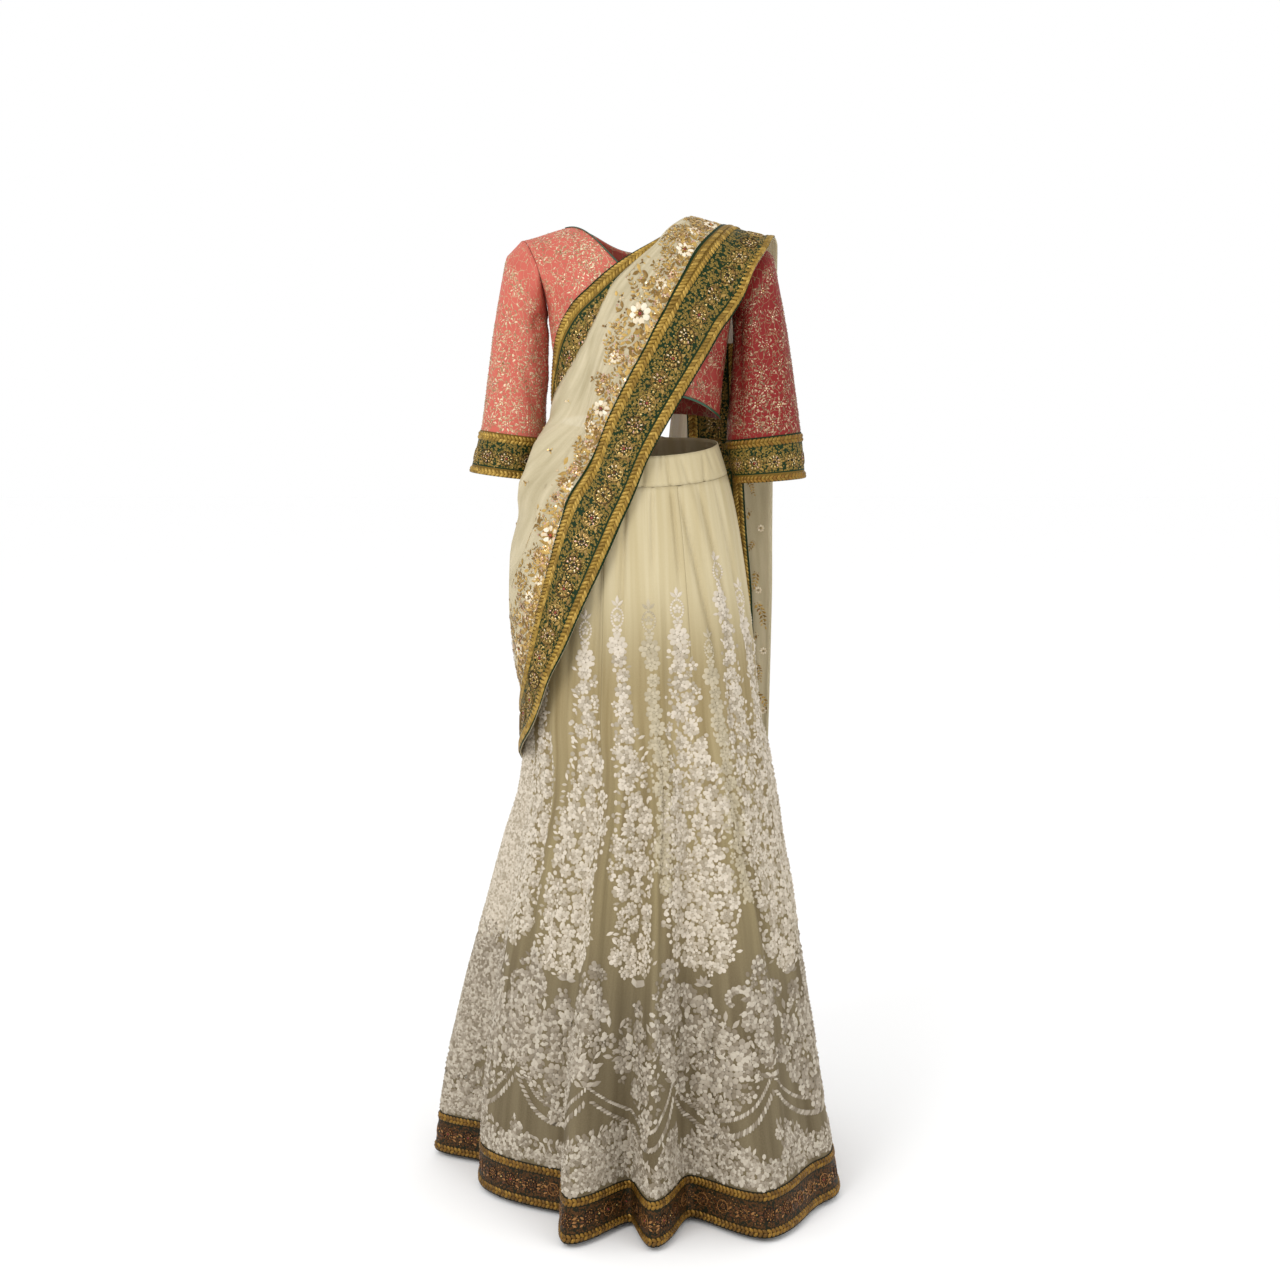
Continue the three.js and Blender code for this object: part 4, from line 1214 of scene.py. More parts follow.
@dataclass(frozen=True)
class Finish:
    """What every finish has: a name, and gloss that starts from its real material's values.

    Attributes:
        name: The material's name.
        roughness: Roughness of the shader.
        metallic: 1 for bare metal, between for metal thread wound on cotton.
        alpha: Share of the light that the cloth stops.
        gloss: Specular level; a pile or a twisted thread scatters most of it away.
    """

    name: str
    roughness: float = 0.7
    metallic: float = 0.0
    alpha: float = 1.0
    gloss: float = 0.2

    def build(self) -> Material:
        """Make the material and return it."""
        made = bpy.data.materials.new(self.name)
        made.use_nodes = True
        tree = made.node_tree
        tree.nodes.clear()
        shader = add_node(
            tree,
            "ShaderNodeBsdfPrincipled",
            {
                "Roughness": self.roughness,
                "Metallic": self.metallic,
                "Alpha": self.alpha,
                "Specular IOR Level": self.gloss,
            },
        )
        add_node(tree, "ShaderNodeOutputMaterial", links={"Surface": shader.outputs[0]})
        colour, height, depth = self.pattern(tree)
        tree.links.new(colour, shader.inputs["Base Color"])
        if height is not None:
            bump = add_node(
                tree, "ShaderNodeBump", {"Strength": 0.6, "Distance": depth * MM}, {"Height": height}
            )
            tree.links.new(bump.outputs[0], shader.inputs["Normal"])
        return made

    def pattern(self, tree: Tree) -> tuple[Any, Any, float]:
        """Colour socket, height socket or None, and the relief in millimetres."""
        raise NotImplementedError


def noise(tree: Tree, where: Any, size: float, detail: float = 2.0) -> Any:
    """Soft cloudy noise whose lumps are about size millimetres across."""
    made = add_node(
        tree, "ShaderNodeTexNoise", {"Scale": 1000 / size, "Detail": detail}, {"Vector": where}
    )
    return made.outputs["Fac"]


def cells(tree: Tree, where: Any, size: float, feature: str, output: str) -> Any:
    """A cell pattern whose cells are about size millimetres across."""
    made = add_node(
        tree, "ShaderNodeTexVoronoi", {"Scale": 1000 / size}, {"Vector": where}, feature=feature
    )
    return made.outputs[output]


def ramp(tree: Tree, value: Any, *stops: tuple[float, str]) -> Any:
    """Colours at places along a value, as hex codes."""
    made = add_node(tree, "ShaderNodeValToRGB", links={"Fac": value})
    for k, (place, code) in enumerate(stops):
        stop = made.color_ramp.elements[k] if k < 2 else made.color_ramp.elements.new(place)
        stop.position, stop.color = place, linear(code)
    return made.outputs[0]


def blend(tree: Tree, share: Any, a: Any, b: Any) -> Any:
    """Colour blend of two sockets, or of hex codes."""
    made = add_node(tree, "ShaderNodeMix", data_type="RGBA")
    for name, value in (("A", a), ("B", b)):
        socket = next(s for s in made.inputs if s.name == name and s.type == "RGBA")
        if isinstance(value, str):
            socket.default_value = linear(value)
        else:
            tree.links.new(value, socket)
    tree.links.new(share, made.inputs[0])
    return next(s for s in made.outputs if s.type == "RGBA")


def reckon(tree: Tree, operation: str, *values: Any) -> Any:
    """One step of arithmetic on sockets and numbers."""
    made = add_node(tree, "ShaderNodeMath", operation=operation)
    for k, value in enumerate(values):
        if isinstance(value, (int, float)):
            made.inputs[k].default_value = value
        else:
            tree.links.new(value, made.inputs[k])
    return made.outputs[0]


def mapped(tree: Tree, kind: str, stretch_: Triple) -> Any:
    """Object or map coordinates, stretched along each axis."""
    source = add_node(tree, "ShaderNodeTexCoord").outputs[kind]
    return add_node(tree, "ShaderNodeMapping", {"Scale": stretch_}, {"Vector": source}).outputs[0]


def axis_of(tree: Tree, where: Any, axis: str) -> Any:
    """One coordinate of a place."""
    return add_node(tree, "ShaderNodeSeparateXYZ", links={0: where}).outputs[axis]


def share_between(tree: Tree, value: Any, low: float, high: float) -> Any:
    """A value's soft share of the way from low to high."""
    made = add_node(
        tree,
        "ShaderNodeMapRange",
        {"From Min": low, "From Max": high},
        {"Value": value},
        interpolation_type="SMOOTHSTEP",
    )
    return made.outputs[0]


@dataclass(frozen=True)
class Brocade(Finish):
    """Dyed silk under couched metal thread: vines about a thumb's width apart, with small leaves.

    Attributes:
        pale: Where the silk catches the light.
        deep: Where the dye is deepest, and the painted shade towards +X, the wearer's left, away from the key
            light.
        thread: The dull gold of the couched vines.
    """

    pale: str = "c16253"
    deep: str = "7c1f1c"
    thread: str = "d2bb98"

    def pattern(self, tree: Tree) -> tuple[Any, Any, float]:
        """Silk with a slow change of depth, painted shade towards +X, thin winding lines and a fine weave."""
        where = mapped(tree, "UV", (1, 1, 1))
        place = mapped(tree, "Object", (1, 1, 1))
        # Painted shade: the silk and its thread grow darker towards +X, the wearer's left, the side away from
        # the key light.
        side = share_between(tree, axis_of(tree, place, "X"), -0.05, 0.22)
        cloudy = reckon(tree, "ADD", reckon(tree, "MULTIPLY", noise(tree, where, 45), 0.7), side)
        silk = blend(tree, share_between(tree, cloudy, 0.2, 1.25), self.pale, self.deep)
        warp = add_node(tree, "ShaderNodeTexNoise", {"Scale": 70.0, "Detail": 1.0}, {"Vector": where})
        bent = add_node(
            tree, "ShaderNodeMixRGB", {"Fac": 0.012}, {1: where, 2: warp.outputs["Color"]}
        ).outputs[0]
        edge = cells(tree, bent, 13.0, "DISTANCE_TO_EDGE", "Distance")
        vine = reckon(tree, "LESS_THAN", edge, 0.022)
        leaf = reckon(tree, "LESS_THAN", cells(tree, bent, 3.2, "F1", "Distance"), 0.38)
        ragged = reckon(tree, "MULTIPLY", noise(tree, bent, 7, 3), 0.6)
        near = reckon(tree, "ADD", cells(tree, bent, 21.0, "F1", "Distance"), ragged)
        near = reckon(tree, "LESS_THAN", near, 0.66)
        worked = reckon(tree, "MAXIMUM", vine, reckon(tree, "MULTIPLY", leaf, near))
        gold = ramp(tree, noise(tree, where, 2.5), (0.35, "a2815f"), (0.65, self.thread))
        height = reckon(tree, "ADD", worked, reckon(tree, "MULTIPLY", noise(tree, where, 0.8), 0.4))
        # Painted shade: the couched thread darkens on that same side.
        gold = blend(tree, reckon(tree, "MULTIPLY", side, 0.8), gold, "7d5f42")
        return blend(tree, reckon(tree, "MULTIPLY", worked, 0.85), silk, gold), height, 0.5


@dataclass(frozen=True)
class Velvet(Finish):
    """Velvet ribbon covered with couched thread, bare in narrow lines beside each braid.

    Attributes:
        width: Width of the ribbon in millimetres.
        ground: The velvet.
        dull: The thread in its hollows.
        bright: The thread where it catches the light.
        braid: The cord that the braids are plaited over.
        cover: How much of the ground is covered.
    """

    width: float = 88.0
    ground: str = "10280c"
    dull: str = "4a3c18"
    bright: str = "9a8038"
    braid: str = "6b5218"
    cover: float = 0.55

    def pattern(self, tree: Tree) -> tuple[Any, Any, float]:
        """Curls of thread two or three millimetres wide, on the middle of the ribbon only."""
        where = mapped(tree, "UV", (1, 1, 1))
        across = reckon(tree, "DIVIDE", axis_of(tree, where, "Y"), self.width * MM)
        middle = reckon(tree, "ABSOLUTE", reckon(tree, "SUBTRACT", across, 0.5))
        worked = reckon(tree, "LESS_THAN", middle, 0.5 - BRAID_TO - BARE_LINE)
        curl = reckon(tree, "LESS_THAN", cells(tree, where, 3.4, "F1", "Distance"), self.cover)
        curl = reckon(tree, "MULTIPLY", curl, worked)
        gold = ramp(tree, noise(tree, where, 1.6, 4), (0.35, self.dull), (0.68, self.bright))
        height = reckon(tree, "ADD", curl, noise(tree, where, 1.2))
        centre, reach = 0.5 - (BRAID_FROM + BRAID_TO) / 2, (BRAID_TO - BRAID_FROM) / 2
        core = reckon(tree, "COMPARE", middle, centre, reach)
        return blend(tree, core, blend(tree, curl, self.ground, gold), self.braid), height, 0.6


@dataclass(frozen=True)
class Tulle(Finish):
    """Sheer net: small many-sided holes, and long soft streaks where layers of it cross.

    Attributes:
        pale: Where two layers lie together.
        grey: Where it is thinnest.
        streaks: How quickly the colour changes along U, along V.
    """

    pale: str = "d6c9a9"
    grey: str = "b6a987"
    streaks: Triple = (0.12, 1, 1)

    def pattern(self, tree: Tree) -> tuple[Any, Any, float]:
        """Streaks along the length, and a mesh drawn large enough to show."""
        where = mapped(tree, "UV", (1, 1, 1))
        long_ = mapped(tree, "UV", self.streaks)
        tone = reckon(tree, "MULTIPLY", noise(tree, long_, 16, 3), 0.8)
        tone = reckon(tree, "ADD", tone, reckon(tree, "MULTIPLY", noise(tree, where, 1.6), 0.25))
        mesh = cells(tree, where, NET_HOLE, "DISTANCE_TO_EDGE", "Distance")
        return ramp(tree, tone, (0.33, self.grey), (0.68, self.pale)), mesh, 0.15


@dataclass(frozen=True)
class LinedNet(Finish):
    """Net over plain cloth, darker lower down, where the gaps in the lace lie in shade.

    Attributes:
        levels: Height in metres, then the colours in the folds and on the crowns, from the top down.
    """

    levels: tuple[tuple[float, str, str], ...] = (
        (-0.5, "b5a680", "c2b593"), (-0.68, "867550", "a2926d"), (-0.92, "76674a", "938561"),
        (-1.19, "5a4e38", "786c53"),
    )

    def pattern(self, tree: Tree) -> tuple[Any, Any, float]:
        """Fine streaks down the cloth, and the net's mesh drawn large enough to show."""
        where = mapped(tree, "UV", (1, 1, 1))
        down = mapped(tree, "UV", (1, 0.05, 1))
        tone = reckon(tree, "MULTIPLY", noise(tree, down, 22, 4), 0.75)
        tone = reckon(tree, "ADD", tone, reckon(tree, "MULTIPLY", noise(tree, where, 1.8), 0.25))
        place = axis_of(tree, mapped(tree, "Object", (1, 1, 1)), "Z")
        colour: Any = None
        for k, (height, fold, crown) in enumerate(self.levels):
            layer = ramp(tree, tone, (0.36, fold), (0.62, crown))
            above = self.levels[k - 1][0]
            colour = blend(tree, share_between(tree, place, above, height), colour, layer) if k else layer
        return colour, cells(tree, where, NET_HOLE, "DISTANCE_TO_EDGE", "Distance"), 0.15


@dataclass(frozen=True)
class Shades:
    """Plain colours of one small thing, such as a sequin or a strand, that vary from one to the next.

    Attributes:
        name: The materials' name.
        codes: The colours as hex codes.
        roughness: Roughness of the shader.
        metallic: 1 for bare metal, between for foil and for metal thread wound on cotton.
    """

    name: str
    codes: tuple[str, ...]
    roughness: float = 0.4
    metallic: float = 0.0

    def build(self) -> tuple[Material, ...]:
        """Make one material for each colour."""
        made = []
        for k, code in enumerate(self.codes):
            material = bpy.data.materials.new(f"{self.name}_{k + 1}")
            material.use_nodes = True
            tree = material.node_tree
            tree.nodes.clear()
            values = {"Base Color": linear(code), "Roughness": self.roughness, "Metallic": self.metallic}
            shader = add_node(tree, "ShaderNodeBsdfPrincipled", values)
            add_node(tree, "ShaderNodeOutputMaterial", links={"Surface": shader.outputs[0]})
            made.append(material)
        return tuple(made)


class Finishes:
    """Every material of the garment, built once."""

    def __init__(self) -> None:
        """Build the materials."""
        # Couched silk: matt cloth, and thread that only glints a little.
        self.silk = Brocade("couched_silk_brocade", 0.6).build()
        self.satin = Shades("green_satin", ("1c4a33",), 0.4).build()
        self.band = Velvet("couched_green_velvet", 0.6, 0.15).build()
        self.cuff_band = Velvet("couched_green_velvet_cuff", 0.6, 0.15, width=70.0).build()
        # The hem's brown velvet is dark; its colours are also darkened as painted shade, where the light
        # falls off towards the floor.
        brown = {"ground": "1b1a08", "dull": "331d0b", "bright": "5c3d18", "braid": "32210a"}
        self.hem_band = Velvet("couched_brown_velvet", 0.6, 0.15, width=HEM_BORDER, **brown).build()
        # Gilt thread on cotton is a satin metal, duller than foil.
        self.gilt = Shades("gilt_thread", ("836626", "97782f", "a9893f"), 0.4, 0.6).build()
        # The shaded gilt is painted shade: darker thread for the sleeve on +X, away from the key light, and
        # for the hem, where the light falls off towards the floor.
        self.shaded_gilt = Shades("shaded_gilt_thread", ("5f420e", "745215", "86631f"), 0.42, 0.55).build()
        # Net stops about three quarters of the light and has little gloss.
        self.tulle = Tulle("sheer_tulle", 0.75, alpha=0.74).build()
        hung = {"grey": "bdb084", "streaks": (2.2, 0.06, 1)}
        self.fall_tulle = Tulle("sheer_tulle_fall", 0.75, alpha=0.74, **hung).build()
        # Over plain cloth it lets nothing through.
        self.lined = LinedNet("lined_net", 0.8).build()
        # Sequins are foil: a tight highlight, each tilted its own way.
        champagne = ("8a6636", "b7925c", "d9c29c", "c79d88")
        self.champagne = Shades("champagne_sequin", champagne, 0.22, 0.55).build()
        self.gold = Shades("gold_sequin", ("65481f", "a27c3c", "d3b673"), 0.3, 0.65).build()
        # The copper, for the hem's rosettes, is also darkened as painted shade near the floor.
        self.copper = Shades("copper_sequin", ("2c190d", "5a3519", "96693a"), 0.3, 0.6).build()
        self.dull_gold = Shades("dull_gold_bead", ("4f3b19", "7c6230", "a88c4e"), 0.36, 0.6).build()
        # Pale and shaded copies of one metal thread; the shaded copy is painted shade for the wearer's left,
        # away from the key light.
        self.pale_thread = Shades("pale_metal_thread", ("947955", "b9a07b", "d3bf9e"), 0.4, 0.35).build()
        self.shaded_thread = Shades("shaded_metal_thread", ("6d5238", "937557", "b3967a"), 0.4, 0.35).build()
        self.leaf = Shades("gilt_leaf", ("7c5e24", "9c7c3a", "b8964f"), 0.45, 0.3).build()
        # Pearls and cut stones are glossy, with no metal in them.
        self.pearl = Shades("pearl", ("dccdb0", "d0bfa0", "e6dac2"), 0.3).build()
        self.ruby = Shades("ruby_stone", ("7d1f12", "a8401e"), 0.12).build()
        # Cotton cord is matt. Lower down it is painted darker and greyer, as shade where the light falls off
        # towards the floor.
        self.cord = Shades("cotton_cord", ("cec3b2", "c4b9a7", "b6aa97", "a39782"), 0.85).build()
        self.low_shaded_cord = Shades("cotton_cord_low_shaded", ("bab09f", "a89d8c", "958a79", "807461"), 0.85).build()
        # The faint cord is painted dimmer: shade on the spires that lie in the valleys between folds, and the
        # veil of net that half hides them there.
        self.faint_cord = Shades("cotton_cord_shaded_under_net", ("b8ac92", "aa9e84"), 0.85).build()


# ---- dressing the frame


def dress(made: Piece, slot: str, nodes: Sequence[str] = (), material: Material | None = None) -> Piece:
    """Bind a finished piece to the frame.

    Args:
        made: The piece.
        slot: Not used.
        nodes: The CAD nodes that it stands for.
        material: Its material, where it has none yet.

    Returns:
        The piece.
    """
    if material is not None:
        made.data.materials.append(material)
    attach(made, "root")
    if nodes:
        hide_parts(*nodes)
    LOG.info("%s: %d faces", made.name, len(made.data.polygons))
    return made


def lay_flat(
    cloth: Cloth,
    us: Array,
    vs: Array,
    rests_on: Sequence[str],
) -> None:
    """State the cut of a sheet, measured flat on the cloth's own lengths.

    Args:
        cloth: Its form.
        us: Its columns.
        vs: Its rows.
        rests_on: What it lies on or hangs from.
    """
    grid = cloth.at(*np.meshgrid(us, vs, indexing="ij"))
    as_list(rests_on)


# Shares of a border's width: a braid's outer and inner edge, and the bare velvet beside it.
BRAID_FROM, BRAID_TO, BARE_LINE = 0.035, 0.185, 0.03


def border_nodes(name: str) -> list[str]:
    """The CAD nodes of a border, from its outer edge inwards."""
    return [f"{name}_{part}" for part in ("braid_outer", "band", "braid_inner")]


@dataclass
class Border:
    """A velvet ribbon with a gilt plait along each edge and beadwork between them.

    Attributes:
        name: Name that its pieces start with.
        strip: Where it lies, in millimetres along and across.
        slot: Name of the ribbon's kind; the hem's, hem_band, gets the dark beadwork.
        nodes: The CAD nodes that it stands for.
        plaits: Which edges have a plait: 0 the outer, 1 the inner.
        pitch: Millimetres from one strand of a plait to the next.
        motif: Millimetres from one rosette to the next.
        step: Millimetres from one column of the ribbon to the next.
        rows: Rows of points across the ribbon.
        thickness: Thickness of the ribbon.
    """

    name: str
    strip: Cloth
    slot: str
    nodes: Sequence[str]
    plaits: Sequence[int] = (0, 1)
    pitch: float = 6.4
    motif: float = 38.0
    step: float = 8.0
    rows: int = 7
    thickness: float = 0.9

    def build(self, ribbon: Material, thread: tuple[Material, ...], beads: Beadwork) -> None:
        """Build the ribbon, the plaits and the beadwork."""
        length, width = self.strip.u[-1], self.strip.v[-1]
        us = np.linspace(0, length, max(4, int(length / self.step)) + 1)
        vs = np.linspace(0, width, self.rows)
        columns = us[:-1] if self.strip.ring else us
        cloth = shell(f"{self.name}_ribbon", self.strip, columns, vs, self.thickness, self.strip.ring)
        dress(cloth, self.slot, self.nodes, ribbon)
        plaits = self._plait(length, width, thread)
        worked = self._beadwork(length, width, beads)
        lay_flat(self.strip, us, vs, ["net_or_brocade_under_it"])

    def _plait(self, length: float, width: float, thread: tuple[Material, ...]) -> Piece:
        """Two rows of slanting strands along each plaited edge."""
        half = (BRAID_TO - BRAID_FROM) * width / 2
        strand = Bench.bead(self.pitch * 0.9, half * 2.0, 3.4)
        sewn = Sewn(f"{self.name}_plaits")
        at = np.arange(self.pitch / 4, length - self.pitch / 8, self.pitch)
        for edge in self.plaits:
            for side in (-1, 1):
                centre = mix(BRAID_FROM, BRAID_TO, 0.5 + side * 0.25) * width
                across = centre if edge == 0 else width - centre
                way = side if edge == 0 else -side
                stitch = Stitch(strand, thread, turn=50.0 * way, lift=0.1)
                sewn.sew(self.strip, [stitch], at, np.full(len(at), across))
        return dress(sewn.make(), "gold_braid")

    def _beadwork(self, length: float, width: float, beads: Beadwork) -> Piece:
        """Rosettes down the middle, with leaf sprays between them."""
        sewn = Sewn(f"{self.name}_beads")
        count = max(1, round(length / self.motif))
        at = (np.arange(count) + 0.5) * length / count
        middle = np.full(count, width / 2)
        size = width * (1 - 2 * BRAID_TO) / 55
        dark = self.slot == "hem_band"
        sewn.sew(self.strip, beads.rosette(dark), at, middle, size=size)
        between = at[:-1] + length / count / 2
        sewn.sew(self.strip, beads.spray(dark), between, middle[:-1], size=size)
        return dress(sewn.make(), self.slot)


@dataclass
class Beadwork:
    """The small motifs of the borders, the pallu and the blouse, each modelled once.

    Attributes:
        finishes: The materials.
    """

    finishes: Finishes

    def __post_init__(self) -> None:
        """Model the motifs."""
        finishes = self.finishes
        self.stone = Stitch(Bench.bead(6.0, 6.0, 2.6), finishes.ruby)
        self.bead = Stitch(Bench.bead(4.2, 4.2, 2.0, 5), finishes.gold)
        self.seed = Stitch(Bench.seed(4.6, 2.4), finishes.gold)
        self.sequin = Stitch(Bench.sequin(4.4), finishes.champagne, lift=0.3, tilt=18)
        self.leaf = Stitch(Bench.leaf(5.2, 11.0, 1.0), finishes.leaf)
        self.ring = Stitch(Bench.ring(10.0, 1.7), finishes.dull_gold)
        self.petal = Stitch(Bench.petal(8.4, 11.0, 2.2), finishes.pearl)

    def rosette(self, dark: bool) -> Motif:
        """A round flower of leaves and beads between two couched rings, about 30 mm wide."""
        copper, ruby, pale = self.finishes.copper, self.finishes.ruby, self.finishes.champagne
        gold = copper if dark else self.finishes.dull_gold
        light = copper[1:] if dark else self.finishes.gold[1:] + pale[1:]
        return [
            replace(self.stone, shades=copper[:2] + ruby[:1], size=0.8),
            *round_of(8, 4.6, replace(self.bead, shades=light, size=0.62)),
            replace(self.ring, shades=gold, size=0.68),
            *round_of(10, 6.9, replace(self.leaf, shades=light, size=0.52)),
            replace(self.ring, shades=gold, size=1.28),
            *round_of(16, 14.6, replace(self.seed, shades=gold, size=0.5), 8),
        ]

    def spray(self, dark: bool) -> Motif:
        """Leaves and two winding lines of sequins that fill the space between two rosettes."""
        copper, gold, green = self.finishes.copper, self.finishes.dull_gold, self.finishes.leaf
        flat = replace(self.seed, shades=copper if dark else gold, size=0.6)
        leaf = replace(self.leaf, shades=copper[1:] if dark else green[:2])
        lines = [
            replace(flat, x=side * (5.5 + 3.4 * math.sin(k * 0.9)), y=-17.0 + 4.2 * k)
            for side in (-1, 1)
            for k in range(9)
        ]
        leaves = [
            replace(leaf, x=side * 3.0, y=high, turn=-side * slant)
            for side in (-1, 1)
            for high, slant in ((-14, 60), (-4, 95), (6, 120))
        ]
        return [*lines, *leaves, replace(self.bead, size=0.9), replace(flat, y=-20.0), replace(flat, y=20.0)]

    def blossom(self, thread: tuple[Material, ...]) -> Motif:
        """The blouse's flower: rings of beads and leaves, with a tendril that winds away."""
        seed, mixed = replace(self.seed, shades=thread, size=0.42), thread[1:] + self.finishes.champagne[2:]
        tendril: Motif = []
        for k in range(5, 16):
            turn, radius = 0.5 * k + 0.6, 4 + 1.25 * k
            tendril.append(replace(seed, x=radius * math.cos(turn), y=radius * math.sin(turn)))
        return [
            replace(self.sequin, size=0.6),
            *round_of(6, 3.4, replace(self.sequin, shades=mixed, size=0.46)),
            *round_of(7, 5.2, replace(self.leaf, shades=thread, size=0.48), 14),
            *round_of(9, 10.6, seed, 14),
            *tendril,
        ]

    def vine(self, thread: tuple[Material, ...]) -> Motif:
        """A short winding stem with paired leaves, for the ground between the blouse's flowers."""
        made: Motif = []
        for k in range(6):
            x, y = 2.6 * math.sin(k * 1.1), 4.4 * k - 11
            made.append(replace(self.seed, shades=thread, x=x, y=y, size=0.36))
            made.append(replace(self.leaf, shades=thread, x=x, y=y, turn=(-1) ** k * 58, size=0.5))
        return made

    def pearl_flower(self) -> Motif:
        """A flower of pearl petals round a stone, about 34 mm wide."""
        return [
            *round_of(8, 4.2, self.petal),
            *round_of(9, 3.9, replace(self.bead, size=0.6, lift=2.4)),
            replace(self.stone, size=0.9, lift=1.2),
        ]

    def white_flower(self) -> Motif:
        """A pearl flower without its stone."""
        return [stitch for stitch in self.pearl_flower() if stitch.shape is not self.stone.shape]

    def knot(self) -> Motif:
        """A bead and a sequin over three leaves, for the open net."""
        leaves = round_of(3, 1.0, replace(self.leaf, size=0.55))
        return [replace(self.bead, lift=0.6), replace(self.sequin, y=4.6), *leaves]

    def sprig(self) -> Motif:
        """A branch of gilt leaves along y with sequins among them, about 55 mm long."""
        made: Motif = []
        for k in range(6):
            x, y, size = 3.5 * math.sin(k * 0.7), 8.5 * k, 1.15 - 0.08 * k
            made += [replace(self.leaf, x=x, y=y, turn=side * 52, size=size) for side in (-1, 1)]
            made += [replace(self.sequin, x=x + side * 5.5, y=y - 3, size=0.62) for side in (-1, 1)]
            made.append(replace(self.bead, x=x, y=y - 3, size=0.55))
        return [*made, replace(self.leaf, x=2.0, y=50.0, size=0.8)]

    def cluster(self) -> Motif:
        """Sequins crowded round a bead, about 22 mm wide."""
        return [
            replace(self.bead, lift=0.6),
            *round_of(7, 4.6, self.sequin),
            *round_of(11, 9.0, replace(self.sequin, size=0.75), 11),
        ]


def spread(cloth: Cloth, gap: float, luck: np.random.Generator) -> tuple[Array, Array]:
    """Places about gap millimetres apart in staggered rows all over a cloth."""
    middle = cloth.rises()[len(cloth.u) // 2]
    arcs = cloth.arcs()
    found: list[tuple[Array, Array]] = []
    for k, length in enumerate(np.arange(gap * 0.55, middle[-1] - gap * 0.3, gap * STAGGER)):
        v = float(np.interp(length, middle, cloth.v))
        arc = arcs[:, int(np.abs(cloth.v - v).argmin())]
        count = max(1, int(arc[-1] / gap))
        at = (np.arange(count) + 0.3 + 0.4 * (k % 2)) * arc[-1] / count
        found.append((np.interp(at, arc, cloth.u), np.full(count, v)))
    u, v = (np.concatenate(part) for part in zip(*found))
    x, y = luck.uniform(-0.16, 0.16, (2, len(u))) * gap
    return cloth.reach(u, v, x, y)


# ---- the garment


